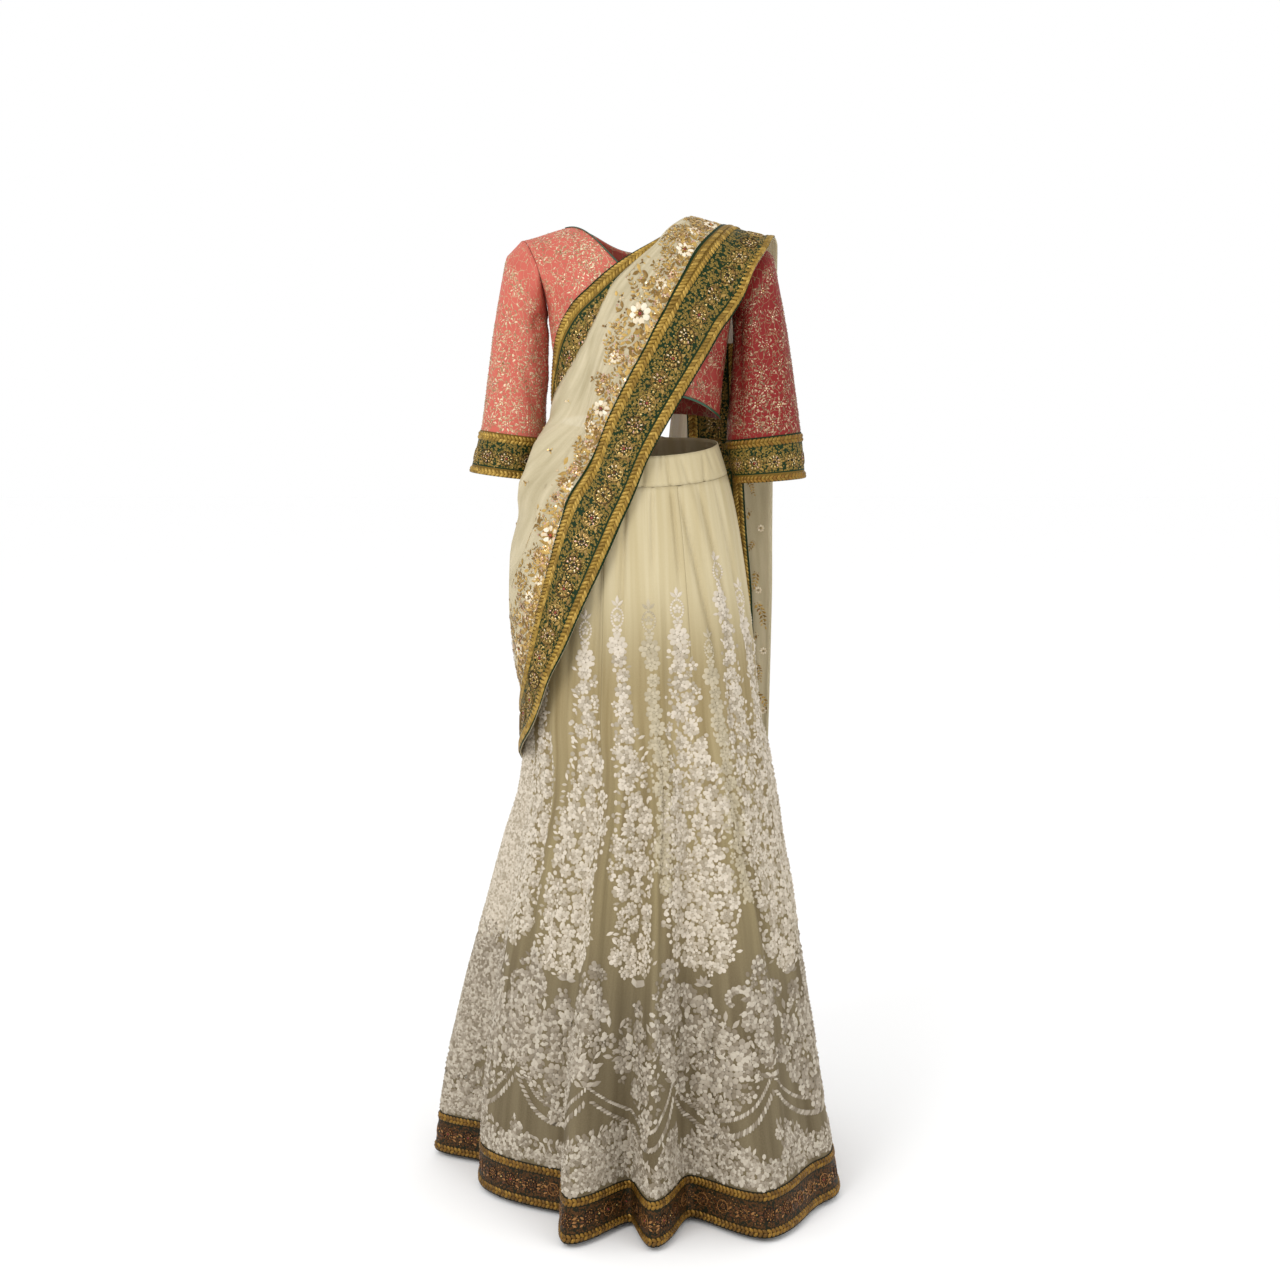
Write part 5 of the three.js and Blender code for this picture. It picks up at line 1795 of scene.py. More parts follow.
@dataclass
class Blouse:
    """The fitted blouse: two panels, two elbow sleeves with bordered cuffs, and its pipings.

    Attributes:
        thickness: Thickness of the brocade.
        piping: Width of the piping.
        cuff: Width of a cuff's border.
        flower_gap: From one embroidered flower to the next.
        vine_gap: From one short vine to the next.
        shade_from: Place along x from which the thread is painted darker as shade.
        luck: The order of the flowers.
    """

    thickness: float = 1.5
    piping: float = 3.5
    cuff: float = 70.0
    flower_gap: float = 30.0
    vine_gap: float = 25.0
    shade_from: float = 10.0
    luck: np.random.Generator = field(default_factory=lambda: np.random.default_rng(SEED + 2))

    def build(self, finishes: Finishes, beads: Beadwork) -> None:
        """Build and dress the blouse."""
        for panel in PANELS:
            cloth = Cloth(
                panel.points, (-SIDE_TURN, SIDE_TURN, 160), (0, 1, 90), panel.outward, folds=BLOUSE_CREASES
            )
            us, vs = np.linspace(-SIDE_TURN, SIDE_TURN, 71), np.linspace(0, 1, 45)
            made = shell(f"blouse_{panel.name}_brocade", cloth, us, vs, self.thickness)
            dress(made, "brocade", [f"blouse_{panel.name}"], finishes.silk)
            neck = self._piping(f"blouse_neck_piping_{panel.name}", cloth, panel, NECK_TURN, True, finishes)
            hem = self._piping(f"blouse_hem_piping_{panel.name}", cloth, panel, SIDE_TURN, False, finishes)
            worked = self._embroider(f"blouse_{panel.name}", cloth, finishes, beads)
            lay_flat(cloth, us, vs, ["wearer"])
        for side, rows in SLEEVES.items():
            self._sleeve(side, rows, finishes, beads)

    def _piping(
        self, name: str, cloth: Cloth, panel: Panel, reach: float, neck: bool, finishes: Finishes
    ) -> Piece:
        """A narrow satin piping along a panel's neck or along its hem."""

        def track(place: Array, share: Array) -> tuple[Array, Array]:
            """Inwards from the panel's edge, between its two ends."""
            turn = mix(-reach, reach, place)
            hem, top = panel.edges(turn)
            inwards = share * self.piping / (top - hem)
            return turn, 1 - inwards if neck else inwards

        line = strip(cloth, track, self.piping, 1.5, False)
        us = np.linspace(0, line.u[-1], int(line.u[-1] / 6) + 1)
        vs = np.linspace(0, self.piping, 3)
        return dress(shell(f"{name}_satin", line, us, vs, 1.2), "piping", [name], finishes.satin[0])

    def _embroider(
        self, name: str, cloth: Cloth, finishes: Finishes, beads: Beadwork, end: float = 1.0
    ) -> Piece:
        """Flowers of sequins with winding tendrils, all over a piece as far as v = end."""
        sewn = Sewn(f"{name}_sequins")
        for work, gap in ((beads.blossom, self.flower_gap), (beads.vine, self.vine_gap)):
            u, v = spread(cloth, gap, self.luck)
            turn, size = self.luck.uniform(0, 360, len(u)), self.luck.uniform(0.85, 1.25, len(u))
            # Painted shade: the thread is darker on the wearer's left, away from the key light, where the red
            # is painted deeper too.
            left = cloth.at(u, v)[:, 0] > self.shade_from
            for shades, part in ((finishes.pale_thread, ~left), (finishes.shaded_thread, left)):
                chosen = part & (v <= end)
                sewn.sew(cloth, work(shades), u[chosen], v[chosen], turn[chosen], size[chosen])
        return dress(sewn.make(), "brocade")

    def _sleeve(self, side: Side, rows: Table, finishes: Finishes, beads: Beadwork) -> None:
        """A sleeve and the border of its cuff."""
        name, last = side.name.lower(), float(len(rows.rows))
        form, folds = sleeve_form(rows, side), SLEEVE_CREASES[side]
        cloth = Cloth(form, (0, 360, 120), (0, last, 120), side.value, True, folds=folds)
        us, vs = np.linspace(0, 360, 57), np.linspace(0, last, 45)
        made = shell(f"sleeve_{name}_brocade", cloth, us[:-1], vs, self.thickness, True)
        dress(made, "brocade", [f"sleeve_{name}"], finishes.silk)
        worked = self._embroider(f"sleeve_{name}", cloth, finishes, beads, last - 1.05)
        lay_flat(cloth, us, vs, ["wearer"])
        line = strip(cloth, Edge((0, 360), (last, last - 1)), self.cuff, TRIM_LIFT, True)
        # The sleeve on +X, away from the key light, gets gilt that is painted darker as shade.
        thread = finishes.gilt if side is Side.LEFT else finishes.gilt[:1] + finishes.shaded_gilt[1:]
        cuff = Border(f"cuff_{name}", line, "border_band", border_nodes(f"cuff_{name}"), motif=32.0)
        cuff.build(finishes.cuff_band, thread, beads)


def gore_form(turn: Array, level: Array) -> Array:
    """The gores' cloth: a level above the knee follows the waistband's dip."""
    top = waist_top(turn) - WAISTBAND - SEAM
    share = (level - GORE_KNEE) / (GORE_TOP - GORE_KNEE)
    return skirt_form(turn, np.where(level <= GORE_KNEE, level, GORE_KNEE + share * (top - GORE_KNEE)))


def waist_form(turn: Array, rise: Array) -> Array:
    """The waistband's cloth, from its seam with the gores upwards."""
    return skirt_form(turn, waist_top(turn) - WAISTBAND + rise)


@dataclass
class Skirt:
    """The gored net skirt with its waistband, its lace and its hem border.

    Attributes:
        thickness: Thickness of the net and the cloth under it.
        gore_columns: Columns of points in a gore.
        gore_rows: Rows of points in a gore.
        waist_columns: Columns of points round the waistband.
    """

    thickness: float = 1.5
    gore_columns: int = 67
    gore_rows: int = 71
    waist_columns: int = 401

    def build(self, finishes: Finishes, beads: Beadwork) -> None:
        """Build and dress the skirt."""
        round_ = (GORE_START, GORE_START + 360)
        cloth = Cloth(gore_form, (*round_, 900), (HEM, GORE_TOP, 320), 1, True, folds=SKIRT_CREASES)
        vs = np.linspace(HEM, GORE_TOP, self.gore_rows)
        for gore in range(GORES):
            start = GORE_START + 360 / GORES * gore
            end = start + 360 / GORES
            us = np.linspace(start + SEAM_TURN, end - SEAM_TURN, self.gore_columns)
            made = shell(f"skirt_gore_{gore + 1}_net", cloth, us, vs, self.thickness)
            dress(made, "skirt_net", [f"skirt_gore_{gore + 1}"], finishes.lined)
            lay_flat(cloth, us, vs, ["skirt_waistband"])
        self._waistband(finishes)
        Lace(cloth, finishes).build()
        line = strip(cloth, Edge(round_, (HEM, HEM + HEM_BORDER)), HEM_BORDER, TRIM_LIFT, True)
        hem = Border("hem", line, "hem_band", border_nodes("hem"), pitch=6.8)
        # The hem's plaits take the gilt that is painted darker as shade near the floor.
        hem.build(finishes.hem_band, finishes.shaded_gilt, beads)

    def _waistband(self, finishes: Finishes) -> None:
        """The plain folded band at the waist."""
        round_ = (GORE_START, GORE_START + 360)
        cloth = Cloth(waist_form, (*round_, 480), (0, WAISTBAND, 20), 1, True, 0.6, WAIST_CREASES)
        us, vs = np.linspace(*round_, self.waist_columns), np.linspace(0, WAISTBAND, 9)
        made = shell("skirt_waistband_net", cloth, us[:-1], vs, self.thickness, True)
        dress(made, "skirt_net", ["skirt_waistband"], finishes.lined)
        lay_flat(cloth, us, vs, ["wearer"])


SPIRES = Table(
    "top foot height width end faint",
    (
        (-86, -86, -640, 94, -1098, 0), (-62, -62, -590, 98, -1086, 0), (-31, -27, -562, 112, -1112, 0),
        (-13, 6, -540, 74, -1104, 0), (3, 15, -545, 36, -960, 1), (18, 25, -528, 122, -1098, 0),
        (34, 44, -590, 40, -1000, 1), (45, 63, -475, 98, -1108, 0), (64, 88, -520, 92, -1090, 0),
    ),
)
BACK_SPIRES = 9
# Keys of the shades of the lace's foot and of the spires' tips; 0 is full cord and 1 is faint. The foot's
# shades are painted darker as shade near the floor.
LOW, TIP = 2, 3
# Heights of the spires' feet, of the crowns and their rosettes, and of the lace's lower edge.
COLUMN_END, CROWN, ROSETTE, LACE_END = -1098.0, -1116.0, -1214.0, -1404.0


@dataclass
class Lace:
    """Corded lace sewn on the skirt: spires of roses, crowns under them, swags and a flowered foot.

    Attributes:
        cloth: The skirt's cloth.
        finishes: The materials.
        petal_gap: From one small petal or leaf to the next, between the roses.
        rose: From one rose to the next in a spire; roses that lie further apart are larger.
        head: How far a spire's tip reaches down before its roses start.
        swag: Height where the swags are tied, how deep they hang and how far apart the two lie.
        bunch: Highest and lowest z of the bunch of flowers between two crowns.
    """

    cloth: Cloth
    finishes: Finishes
    petal_gap: float = 9.6
    rose: float = 26.5
    head: float = 82.0
    swag: Triple = (-1246.0, 66.0, 24.0)
    bunch: Pair = (-1070.0, -1236.0)

    def __post_init__(self) -> None:
        """Model the small motifs and lay out the spires' axes."""
        finishes, heights = self.finishes, self.cloth.v
        self.luck = np.random.default_rng(SEED + 1)
        self.petal, self.leaf = Bench.petal(7.4, 8.6, 2.6), Bench.leaf(5.6, 12.5, 2.1)
        self.bead, self.strand = Bench.bead(5.0, 5.0, 1.9, 5), Bench.bead(3.8, 9.5, 2.4, 5)
        cord = finishes.cord
        self.shades = {0: cord, 1: finishes.faint_cord, LOW: finishes.low_shaded_cord, TIP: cord[:2]}
        self.spires = [(row[2], row[3], row[4], int(row[5])) for row in SPIRES.rows]
        self.axes = [mix(row[0], row[1], self._share(row[2], LACE_END, heights)) for row in SPIRES.rows]
        self.arcs = self.cloth.arcs()
        for k in range(BACK_SPIRES):
            self.axes.append(self._back_axis((k + 1) / (BACK_SPIRES + 1), self.axes[-1]))
            self.spires.append((-560 - 45 * (k % 3), 108 - 12 * (k % 2), COLUMN_END - 12 * (k % 2), 0))
        self.main = [k for k, row in enumerate(self.spires) if not row[3]]

    @staticmethod
    def _share(top: float, end: float, z: Array) -> Array:
        """Share of the way down from one height to another, between 0 and 1."""
        return np.clip((top - z) / (top - end), 0, 1)

    def _back_axis(self, share: float, last: Array) -> Array:
        """An axis at a share of the way from the last one, on round the back, to the first."""
        cloth, arcs = self.cloth, self.arcs
        axis = np.zeros(len(cloth.v))
        for j, total in enumerate(arcs[-1]):
            start = np.interp(last[j], cloth.u, arcs[:, j])
            end = np.interp(self.axes[0][j], cloth.u, arcs[:, j]) + total
            arc = mix(start, end, share)
            axis[j] = np.interp(arc % total, arcs[:, j], cloth.u) + 360 * (arc > total)
        return axis

    def _turn(self, spire: int, x: Number, z: Number) -> Array:
        """Turn of the places that lie x millimetres from a spire's axis."""
        axis = np.interp(z, self.cloth.v, self.axes[spire])
        start = self.cloth.u[0]
        return self.cloth.walk(start + np.mod(axis - start, 360), z, x)

    def _sew(
        self, sewn: Sewn, motif: Motif, spire: int, x: Array, z: Array, turn: Number, size: Any = 1.0
    ) -> None:
        """Sew a motif at places x millimetres from a spire's axis.

        Args:
            sewn: The piece.
            motif: What is sewn.
            spire: The spire's number.
            x: Distances from its axis.
            z: Heights.
            turn: Turn of each copy in degrees.
            size: Size of each copy.
        """
        sewn.sew(self.cloth, motif, self._turn(spire, x, z), z, turn, size)

    def _petals(self, shade: int) -> tuple[Stitch, Stitch, Stitch]:
        """A petal, a leaf and a bead in some shades."""
        shades = self.shades[shade]
        return Stitch(self.petal, shades), Stitch(self.leaf, shades), Stitch(self.bead, shades)

    def _rose(self, shade: int) -> Motif:
        """A full rose about 28 mm wide."""
        petal, _, bead = self._petals(shade)
        outer = round_of(8, 4.9, replace(petal, size=1.22))
        inner = round_of(5, 1.2, replace(petal, size=0.86, lift=1.3), 20)
        return [*outer, *inner, replace(bead, size=0.7, lift=1.6)]

    def _floret(self, shade: int) -> Motif:
        """A small flower of five petals, about 13 mm wide."""
        petal, _, bead = self._petals(shade)
        return [*round_of(5, 1.4, replace(petal, size=0.72)), replace(bead, size=0.45, lift=0.9)]

    def _sprig(self, shade: int) -> Motif:
        """Three leaves on a short stalk, pointing along y."""
        _, leaf, bead = self._petals(shade)
        sides = [replace(leaf, turn=side * 48, y=1.0, size=0.9) for side in (-1, 1)]
        return [replace(leaf, y=3.0), *sides, replace(bead, size=0.6)]

    def _tip(self, faint: int) -> Motif:
        """The tip of a spire: a bud, an oval of beads, a knot and a round medallion."""
        shade = faint or TIP
        bead = self._petals(shade)[2]
        oval = [
            replace(bead, x=9.5 * math.sin(a), y=-26 + 14 * math.cos(a), size=0.86)
            for a in np.linspace(0, 2 * math.pi, 20)[:-1]
        ]
        inside = moved(self._floret(shade), 0, -26)
        bud = moved(self._sprig(shade), 0, -10, larger=1.2)
        knot = moved(self._floret(shade), 0, -47, larger=1.15)
        medallion = moved(self._rose(shade), 0, -68, 1.1, 1.1)
        return [*bud, *oval, *inside, *knot, *medallion]

    def _fill(
        self,
        sewn: Sewn,
        spire: int,
        rows: Pair,
        half: Outline,
        rose_gap: float,
        shade: int,
        shift: float = 0.0,
    ) -> None:
        """Fill a shape about a spire's axis with roses, and petals and leaves between them.

        Args:
            sewn: The piece.
            spire: The spire's number.
            rows: Highest and lowest z.
            half: Half width at each z.
            rose_gap: Millimetres between roses.
            shade: Which of the shades.
            shift: How far the shape lies to the side of the axis.
        """
        roses = self._scatter(rows, half, rose_gap, 0.12, 8)
        size = self.luck.uniform(0.72, 0.98, len(roses)) * rose_gap / self.rose
        turn = self.luck.uniform(0, 70, len(roses))
        self._sew(sewn, self._rose(shade), spire, roses[:, 0] + shift, roses[:, 1], turn, size)
        small = self._scatter(rows, half, self.petal_gap, 0.28, 0)
        if len(roses):
            near = np.linalg.norm(small[:, None] - roses[None], axis=-1)
            small = small[(near > 12.0 * size[None]).all(axis=1)]
        kind = self.luck.uniform(0, 1, len(small))
        petal, leaf, _ = self._petals(shade)
        edge = np.abs(small[:, 0]) / np.maximum(half(small[:, 1]), 1)
        outward = -np.degrees(np.arctan2(small[:, 0], 18.0))
        choices = (([petal], 0.0, 0.5), ([leaf], 0.5, 0.78), (self._floret(shade), 0.78, 1.0))
        for motif, low, high in choices:
            chosen = (kind >= low) & (kind < high)
            at = small[chosen]
            turn = outward[chosen] * (edge[chosen] > 0.6) + self.luck.uniform(-60, 60, len(at))
            scale = self.luck.uniform(0.75, 1.1, len(at))
            self._sew(sewn, motif, spire, at[:, 0] + shift, at[:, 1], turn, scale)

    def _scatter(
        self, rows: Pair, half: Outline, gap: float, jitter: float, margin: float
    ) -> Array:
        """Places in staggered rows inside a shape, each moved a little at random.

        Args:
            rows: Highest and lowest z.
            half: Half width at each z.
            gap: From one place to the next.
            jitter: How far a place may move, as a share of the gap.
            margin: How far the places stay inside the shape.

        Returns:
            Distance from the axis and z of each place.
        """
        high, low = rows
        found = []
        for k, z in enumerate(np.arange(high - gap / 2, low, -gap * STAGGER)):
            reach = float(half(np.array([z]))[0]) - margin
            count = int(max(0.0, reach) * 2 / gap) + 1
            x = (np.arange(count) - (count - 1) / 2 + 0.25 * (-1) ** k * (count > 1)) * gap
            found.append(np.stack([x, np.full(count, z)], axis=1)[np.abs(x) <= max(reach, 0.5)])
        places = np.concatenate(found)
        return places + self.luck.uniform(-jitter, jitter, places.shape) * gap

    def _spire(self, sewn: Sewn, spire: int) -> None:
        """A spire from its tip down to its foot, with its crown where it has one."""
        top, width, end, faint = self.spires[spire]
        self._sew(sewn, self._tip(faint), spire, np.zeros(1), np.array([top]), 0)

        def half(z: Array) -> Array:
            """Half width of the spire, which swells and shrinks as it goes down."""
            share = (top - self.head - z) / (top - self.head - end)
            wave = 1 + 0.12 * np.sin(z / 26 + spire * 1.7)
            shut = ease((z - end) / 34) * 0.6 + 0.4
            return (0.24 + 0.76 * ease(share * 1.5)) * width / 2 * wave * shut

        self._fill(sewn, spire, (top - self.head + 6, end), half, self.rose, faint)
        if not faint:
            self._crown(sewn, spire)

    def _scroll(self, side: int) -> Motif:
        """A scroll of petals, the leaves round it and the two roses under it, on one side."""
        petal, leaf, _ = self._petals(LOW)
        made: Motif = []
        for k in range(14):
            angle, radius = -80.0 + 22 * k, 25 - 1.25 * k
            x = 40 + radius * math.cos(math.radians(angle))
            y = -20 + radius * math.sin(math.radians(angle))
            for lean in (-62, -18, 40):
                made.append(replace(petal, x=side * x, y=y, turn=side * (angle + lean), size=1.35 - 0.05 * k))
        for x, y, turn in ((24, -52, 8), (31, -60, 48), (16, -58, -34), (62, -88, 100), (58, -66, 60)):
            made.append(replace(leaf, x=side * x, y=y, turn=-side * turn, size=1.5))
        return made + moved(self._rose(LOW), side * 27, -72) + moved(self._rose(LOW), side * 50, -108)

    def _crown(self, sewn: Sewn, spire: int) -> None:
        """Leaves over a vase of flowers, with a rosette at its heart and scrolls at its sides."""
        wide = self.spires[spire][1] / 92
        petal, leaf, bead = self._petals(LOW)
        drop = ROSETTE - CROWN
        motif: Motif = [replace(leaf, turn=turn, size=1.35) for turn in (-82, -52, -20, 20, 52, 82)]
        motif += moved(round_of(12, 13, replace(leaf, size=1.5), 15), 0, drop)
        motif += moved(round_of(8, 5.5, replace(petal, lift=1.2)), 0, drop)
        motif.append(replace(bead, y=drop, size=1.1, lift=2.0))
        motif += self._scroll(-1) + self._scroll(1)
        motif = [replace(stitch, x=stitch.x * wide) for stitch in motif]
        self._sew(sewn, motif, spire, np.zeros(1), np.array([CROWN]), 0)
        top = CROWN - 14

        def half(z: Array) -> Array:
            """Half width of the flowers under the crown's leaves."""
            return (8 + 58 * np.sin(np.pi * self._share(top, top - 212, z)) ** 2) * wide

        self._fill(sewn, spire, (top, top - 212), half, 33.0, LOW)

    def _half_way(self, spire: int, side: int, z: float) -> float:
        """Distance along the cloth from a spire's axis half way to the next, at a height."""
        j = int(np.abs(self.cloth.v - z).argmin())
        place = self.main.index(spire)
        other = self.main[(place + side) % len(self.main)]
        start = self.cloth.u[0]
        turns = [start + (self.axes[k][j] - start) % 360 for k in (spire, other)]
        arc = np.interp(turns, self.cloth.u, self.arcs[:, j])
        return float(((arc[1] - arc[0]) * side) % self.arcs[-1, j]) / 2

    def _foot(self, sewn: Sewn, spire: int) -> None:
        """Two swags from between the spires, and the flowered foot under them."""
        tied, deep, apart = self.swag
        strand, leaf = Stitch(self.strand, self.shades[LOW]), self._petals(LOW)[1]
        for side in (-1, 1):
            reach = self._half_way(spire, side, tied - 10)
            for drop, size in ((0.0, 1.05), (apart, 1.4)):
                x = np.arange(0, reach, 3.4 * size)
                share = x / reach
                z = tied - drop - deep * (1 - share**2)
                slope = np.degrees(np.arctan2(2 * deep * share, reach)) * side
                self._sew(sewn, [strand], spire, side * x, z, slope - 48, size)
            z = np.array([tied + 10, tied + 35])
            spray = [*self._sprig(LOW), replace(leaf, y=-8.0, turn=70), replace(leaf, y=-8.0, turn=-70)]
            self._sew(sewn, spray, spire, np.full(2, side * reach), z, 0, [1.6, 1.5])
            self._bank(sewn, spire, side, self._half_way(spire, side, LACE_END))
        between = self._half_way(spire, 1, -1140)
        self._fill(sewn, spire, self.bunch, self._bunched, 30.0, LOW, between)

    def _bunched(self, z: Array) -> Array:
        """Half width of the bunch of flowers between two crowns."""
        return 10 + 22 * np.sin(np.pi * self._share(*self.bunch, z))

    def _bank(self, sewn: Sewn, spire: int, side: int, reach: float) -> None:
        """One side of the flowered foot, whose top rises and falls."""
        rose, (petal, leaf, _) = self._rose(LOW), self._petals(LOW)
        x = np.arange(6.0, reach, 21.0)
        for k, level in enumerate(LACE_END + np.array([11, 31, 51, 71])):
            at, z = self._row(x + 9 * (k % 2), level, spire, 6)
            size = self.luck.uniform(0.66, 0.9, len(at))
            self._sew(sewn, rose, spire, side * at, z, 30 * k, size)
        x = np.arange(3.0, reach, 8.4)
        for level in np.arange(LACE_END + 2, LACE_END + 92, 8.0):
            at, z = self._row(x, level, spire, 0)
            leafy = self.luck.uniform(0, 1, len(z)) < 0.5
            for motif, chosen in (([leaf], leafy), ([petal], ~leafy)):
                turn = self.luck.uniform(-70, 70, chosen.sum())
                self._sew(sewn, motif, spire, side * at[chosen], z[chosen], turn)

    def _row(self, x: Array, level: float, spire: int, margin: float) -> tuple[Array, Array]:
        """Places of one row of the foot, moved at random, that lie a margin under its wavy top."""
        at = x + self.luck.uniform(-3, 3, len(x))
        z = level + self.luck.uniform(-3, 3, len(x))
        under = z < LACE_END + 62 + 26 * np.cos(at / 36 + 1.3 * spire) - margin
        return at[under], z[under]

    def build(self) -> None:
        """Build and dress the lace as three pieces."""
        front = len(SPIRES.rows)
        zones = (
            ("front_spires", range(front), self._spire),
            ("back_spires", range(front, len(self.axes)), self._spire),
            ("foot", self.main, self._foot),
        )
        for name, spires, work in zones:
            sewn = Sewn(f"skirt_lace_{name}")
            for spire in spires:
                work(sewn, spire)
            dress(sewn.make(), "skirt_net")


LARGE_FLOWERS = Table(
    "share across size",
    ((0.07, 40, 0.8), (0.3, 44, 1), (0.545, 50, 0.85), (0.71, 66, 1.1), (0.86, 42, 0.9), (0.955, 32, 0.8)),
)


@dataclass
class Pallu:
    """The pallu from the right hip across the chest to the left shoulder.

    Attributes:
        border: Width of its border.
        flower_band: Width of the band of flowers beside the front border.
        large: Share along the band, place across it and size of each large pearl flower.
        small: Share along the band of each small one.
        sprig_band: Between which shares of the open net the single sprigs lie.
    """

    border: float = BORDER_WIDTH
    flower_band: float = 150.0
    large: Table = LARGE_FLOWERS
    small: tuple[float, ...] = (0.16, 0.22, 0.4, 0.47, 0.62, 0.78, 0.91)
    sprig_band: Pair = (0.12, 0.5)

    def build(self, finishes: Finishes, beads: Beadwork) -> None:
        """Build and dress the front, the layer under it and the hip."""
        front_ends, hip_ends = (0.0001, 0.999), (0.0002, 1)
        front = Cloth(front_form, (*front_ends, 420), (0, 2, 110), -1, lift=FRONT_LIFT, folds=FRONT_CREASES)
        self._net("pallu_front", front, (121, 45), finishes.tulle, ["blouse", "skirt"])
        self._edge("pallu_front", front, Edge(front_ends, (2, 1)), finishes, beads)
        self._flowers(front, beads)
        under = Cloth(under_form, (0, 0.999, 300), (0, 1, 40), -1)
        self._net("pallu_under", under, (101, 15), finishes.tulle, ["blouse"])
        self._edge("pallu_under", under, Edge((0, 0.999)), finishes, beads, (0,))
        hip = Cloth(hip_form, (*hip_ends, 260), (0, 2, 100), 1, lift=FRONT_LIFT, folds=HIP_CREASES)
        self._net("pallu_hip", hip, (81, 37), finishes.tulle, ["skirt"])
        self._edge("pallu_hip", hip, Edge(hip_ends, (2, 1)), finishes, beads)
        self._edge("pallu_hip_upper", hip, Edge(hip_ends, (0, UPPER_BORDER)), finishes, beads)

    def _flowers(self, front: Cloth, beads: Beadwork) -> None:
        """The band of flowers beside the front border, and the small sprigs on the open net."""
        wide = front.rises()[:, int(np.abs(front.v - 1).argmin())]

        def track(place: Array, share: Array) -> tuple[Array, Array]:
            """From the border's inner edge towards the fold, over most of the net at most."""
            across = 1 - share * np.minimum(self.flower_band / np.interp(place, front.u, wide), 0.9)
            return mix(0.02, 0.995, place), across

        band = strip(front, track, self.flower_band, 0.6, False)
        length = band.u[-1]
        luck = np.random.default_rng(SEED + 3)
        sewn = Sewn("pallu_front_flowers")
        at = np.arange(12.0, length - 10, 13.0)
        side = np.where(np.arange(len(at)) % 2 == 0, 1.0, -1.0)
        size = luck.uniform(0.8, 1.5, len(at))
        sewn.sew(band, beads.sprig(), at, 12 + 8 * side, -side * 34 + luck.uniform(-22, 22, len(at)), size)
        outer = np.arange(20.0, length - 12, 21.0)
        high = luck.uniform(40, 100, len(outer))
        turn, size = luck.uniform(-75, 75, len(outer)), luck.uniform(0.5, 0.85, len(outer))
        sewn.sew(band, beads.sprig(), outer, high, turn, size)
        crowd = np.arange(8.0, length - 8, 22.0)
        low = luck.uniform(8, 84, len(crowd))
        sewn.sew(band, beads.cluster(), crowd, low, 0, luck.uniform(0.5, 0.85, len(crowd)))
        share, across, size = (self.large.column(name) for name in ("share", "across", "size"))
        sewn.sew(band, beads.pearl_flower(), share * length, across, 0, size)
        small = np.array(self.small) * length
        sewn.sew(band, beads.white_flower(), small, luck.uniform(24, 92, len(small)), 0, 0.62)
        u, v = spread(front, 62.0, luck)
        open_ = (v > self.sprig_band[0]) & (v < self.sprig_band[1])
        sewn.sew(front, beads.knot(), u[open_], v[open_], luck.uniform(0, 360, open_.sum()), 0.8)
        dress(sewn.make(), "pallu_net")

    @staticmethod
    def _net(name: str, cloth: Cloth, steps: tuple[int, int], material: Material, on: Sequence[str]) -> None:
        """One stretch of net."""
        us, vs = (np.linspace(axis[0], axis[-1], count) for axis, count in zip((cloth.u, cloth.v), steps))
        made = shell(f"{name}_net", cloth, us, vs, NET_CLOTH)
        dress(made, "pallu_net", [name], material)
        lay_flat(cloth, us, vs, on)

    def _edge(
        self,
        name: str,
        cloth: Cloth,
        track: Track,
        finishes: Finishes,
        beads: Beadwork,
        plaits: Sequence[int] = (0, 1),
        width: float | None = None,
    ) -> None:
        """The border of one edge, with a plait on the edges that show."""
        line = strip(cloth, track, width or self.border, TRIM_LIFT, False)
        nodes = border_nodes(name)[: 1 + len(plaits)]
        Border(name, line, "border_band", nodes, plaits).build(finishes.band, finishes.gilt, beads)


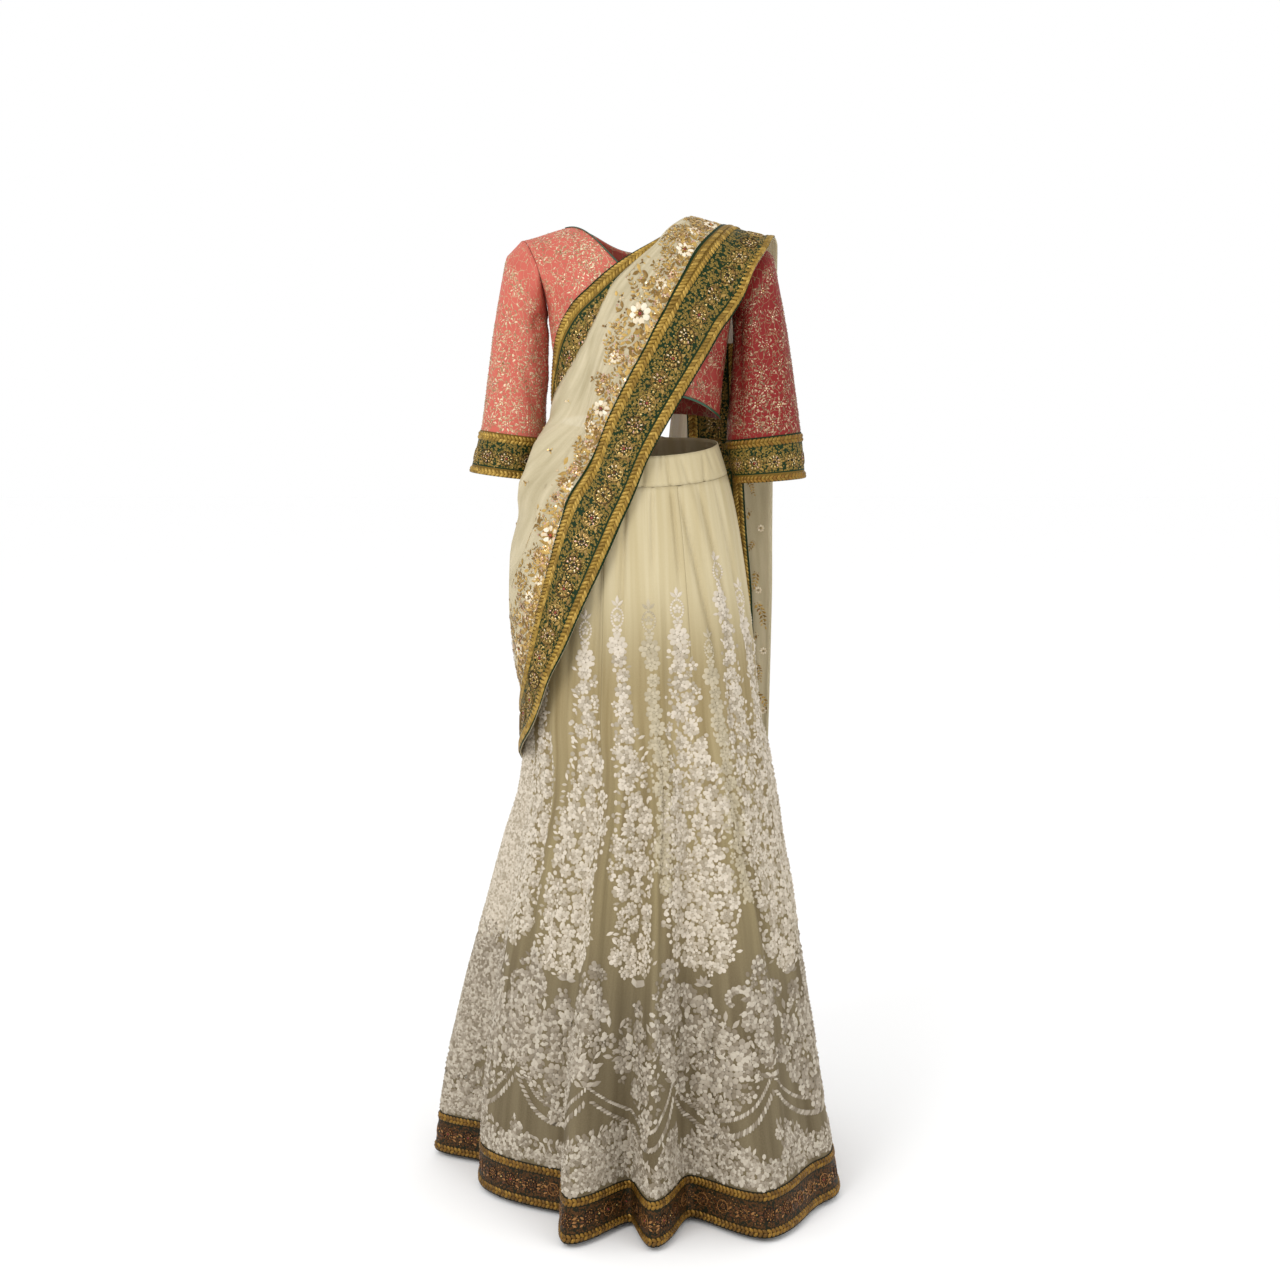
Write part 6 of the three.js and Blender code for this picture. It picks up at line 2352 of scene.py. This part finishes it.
@dataclass
class Fall(Pallu):
    """The free end of the pallu behind the shoulder, with the layer folded in behind it.

    Attributes:
        top: Height coordinate where it meets the front at the shoulder.
        crossing: Width of the border where it crosses the shoulder.
        crossing_across: Where that border's outer and inner edges lie across the fall.
        crossing_low: Height where that border starts.
    """

    top: float = SHOULDER_RIDGE - 0.1
    crossing: float = 72.0
    crossing_across: Pair = (0.985, 0.44)
    crossing_low: float = -70.0

    def build(self, finishes: Finishes, beads: Beadwork) -> None:
        """Build and dress the fall, its borders and the turned layer."""
        hang = Cloth(fall, (0, 1, 160), (FALL_END, self.top, 340), -1, lift=FRONT_LIFT, folds=FALL_CREASES)
        self._net("pallu_fall", hang, (45, 91), finishes.fall_tulle, ["shoulder"])
        end = Edge(across=(FALL_END, FALL_END + self.border))
        self._edge("pallu_fall_end", hang, end, finishes, beads)
        self._edge("pallu_shoulder", hang, self._over, finishes, beads, width=self.crossing)
        layer = Cloth(turned, (TURNED_END, TURNED_TOP, 260), (0, 2, 60), -1)
        self._net("pallu_turned", layer, (81, 17), finishes.tulle, ["pallu_fall"])
        self._edge("pallu_turned", layer, Edge((TURNED_END, TURNED_TOP)), finishes, beads)
        self._sprigs(layer, beads)

    def _over(self, place: Array, share: Array) -> tuple[Array, Array]:
        """Track of the border that crosses the shoulder from the fall's outer edge."""
        out = 0.55 * (1 - ease(place / 0.75))
        across = np.minimum(mix(*self.crossing_across, share) + out, 0.995)
        return across, mix(self.crossing_low, self.top, place)

    @staticmethod
    def _sprigs(layer: Cloth, beads: Beadwork) -> None:
        """Gilt sprigs beside the turned layer's border, and small pearls further out."""
        luck = np.random.default_rng(SEED + 5)
        sewn = Sewn("pallu_turned_flowers")
        high = np.arange(TURNED_END + 110.0, TURNED_TOP - 30.0, 52.0)
        across, turn = 1.16 + luck.uniform(-0.06, 0.2, len(high)), 90 + luck.uniform(-50, 50, len(high))
        sewn.sew(layer, beads.sprig(), high, across, turn, luck.uniform(0.5, 0.8, len(high)))
        pearl = high[::2] + 24.0
        spots = 1.5 + luck.uniform(-0.15, 0.15, len(pearl))
        sewn.sew(layer, beads.white_flower(), pearl, spots, 0, 0.42)
        dress(sewn.make(), "pallu_net")


# ---- the studio


@dataclass(frozen=True)
class Lamp:
    """A soft square lamp.

    Attributes:
        name: Its name.
        place: Where it stands, in metres.
        size: Length of its sides, in metres.
        power: Its power, in watts.
    """

    name: str
    place: Triple
    size: float
    power: float


LAMPS = (Lamp("key", (-1.7, -2.3, 1.1), 1.4, 38), Lamp("fill", (1.9, -1.8, 0.3), 1.6, 9))


@dataclass
class Studio:
    """A bright white studio with soft light from the front, a little more from the left of the view.

    Attributes:
        lens: Focal length in millimetres.
        sensor: Width of the camera's sensor in millimetres.
        place: Where the camera stands, in metres.
        pitch: How far it looks down, in degrees.
        aim: What the lamps are aimed at, near the middle of the garment.
        floor: Height of the floor in metres.
        lamps: The lamps.
    """

    lens: float = 50.0
    sensor: float = 36.0
    place: Triple = (0, -2.8, -0.24)
    pitch: float = 7.7
    aim: Triple = (0, 0, -0.6)
    floor: float = -1.48
    lamps: tuple[Lamp, ...] = LAMPS

    def build(self) -> None:
        """Set the camera, the lights and the white surround."""
        scene = bpy.context.scene
        camera = bpy.data.objects.new("camera", bpy.data.cameras.new("camera"))
        camera.data.lens, camera.data.sensor_width = self.lens, self.sensor
        camera.location = self.place
        camera.rotation_euler = (math.radians(90 - self.pitch), 0, 0)
        scene.collection.objects.link(camera)
        scene.camera = camera
        for lamp in self.lamps:
            self._light(lamp)
        bpy.ops.mesh.primitive_plane_add(size=40, location=(0, 0, self.floor))
        floor = bpy.context.object
        floor.name = "floor"
        floor.data.materials.append(Shades("matt_white_paint", ("ffffff",), 0.9).build()[0])
        floor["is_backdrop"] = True
        world = bpy.data.worlds.new("white_surround")
        world.use_nodes = True
        sky = next(node for node in world.node_tree.nodes if node.type == "BACKGROUND")
        sky.inputs["Color"].default_value = (1, 1, 1, 1)
        sky.inputs["Strength"].default_value = 1.0
        scene.world = world
        scene.view_settings.view_transform = "Standard"

    def _light(self, lamp: Lamp) -> None:
        """Hang a lamp, aimed at the garment."""
        made = bpy.data.objects.new(lamp.name, bpy.data.lights.new(lamp.name, "AREA"))
        made.data.size, made.data.energy = lamp.size, lamp.power
        made.location = lamp.place
        way = Vector(self.aim) - Vector(lamp.place)
        made.rotation_euler = way.to_track_quat("-Z", "Y").to_euler()
        bpy.context.scene.collection.objects.link(made)
        made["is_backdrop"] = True


def plain(box: Any) -> Any:
    """A box as plain lists of numbers."""
    if isinstance(box, dict):
        return {key: plain(value) for key, value in box.items()}
    if hasattr(box, "__len__") and not isinstance(box, str):
        return [plain(value) for value in box]
    return float(box)


def main() -> None:
    """Build the garment on its frame and light it."""
    logging.basicConfig(level=logging.INFO, format="%(name)s %(message)s")
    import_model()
    sizes = {"frame": plain(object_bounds())}
    deselect()
    finishes = Finishes()
    beads = Beadwork(finishes)
    for part in (Blouse(), Skirt(), Pallu(), Fall()):
        part.build(finishes, beads)
    Studio().build()
    sizes["dressed"] = plain(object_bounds())


if __name__ == "__main__":
    main()
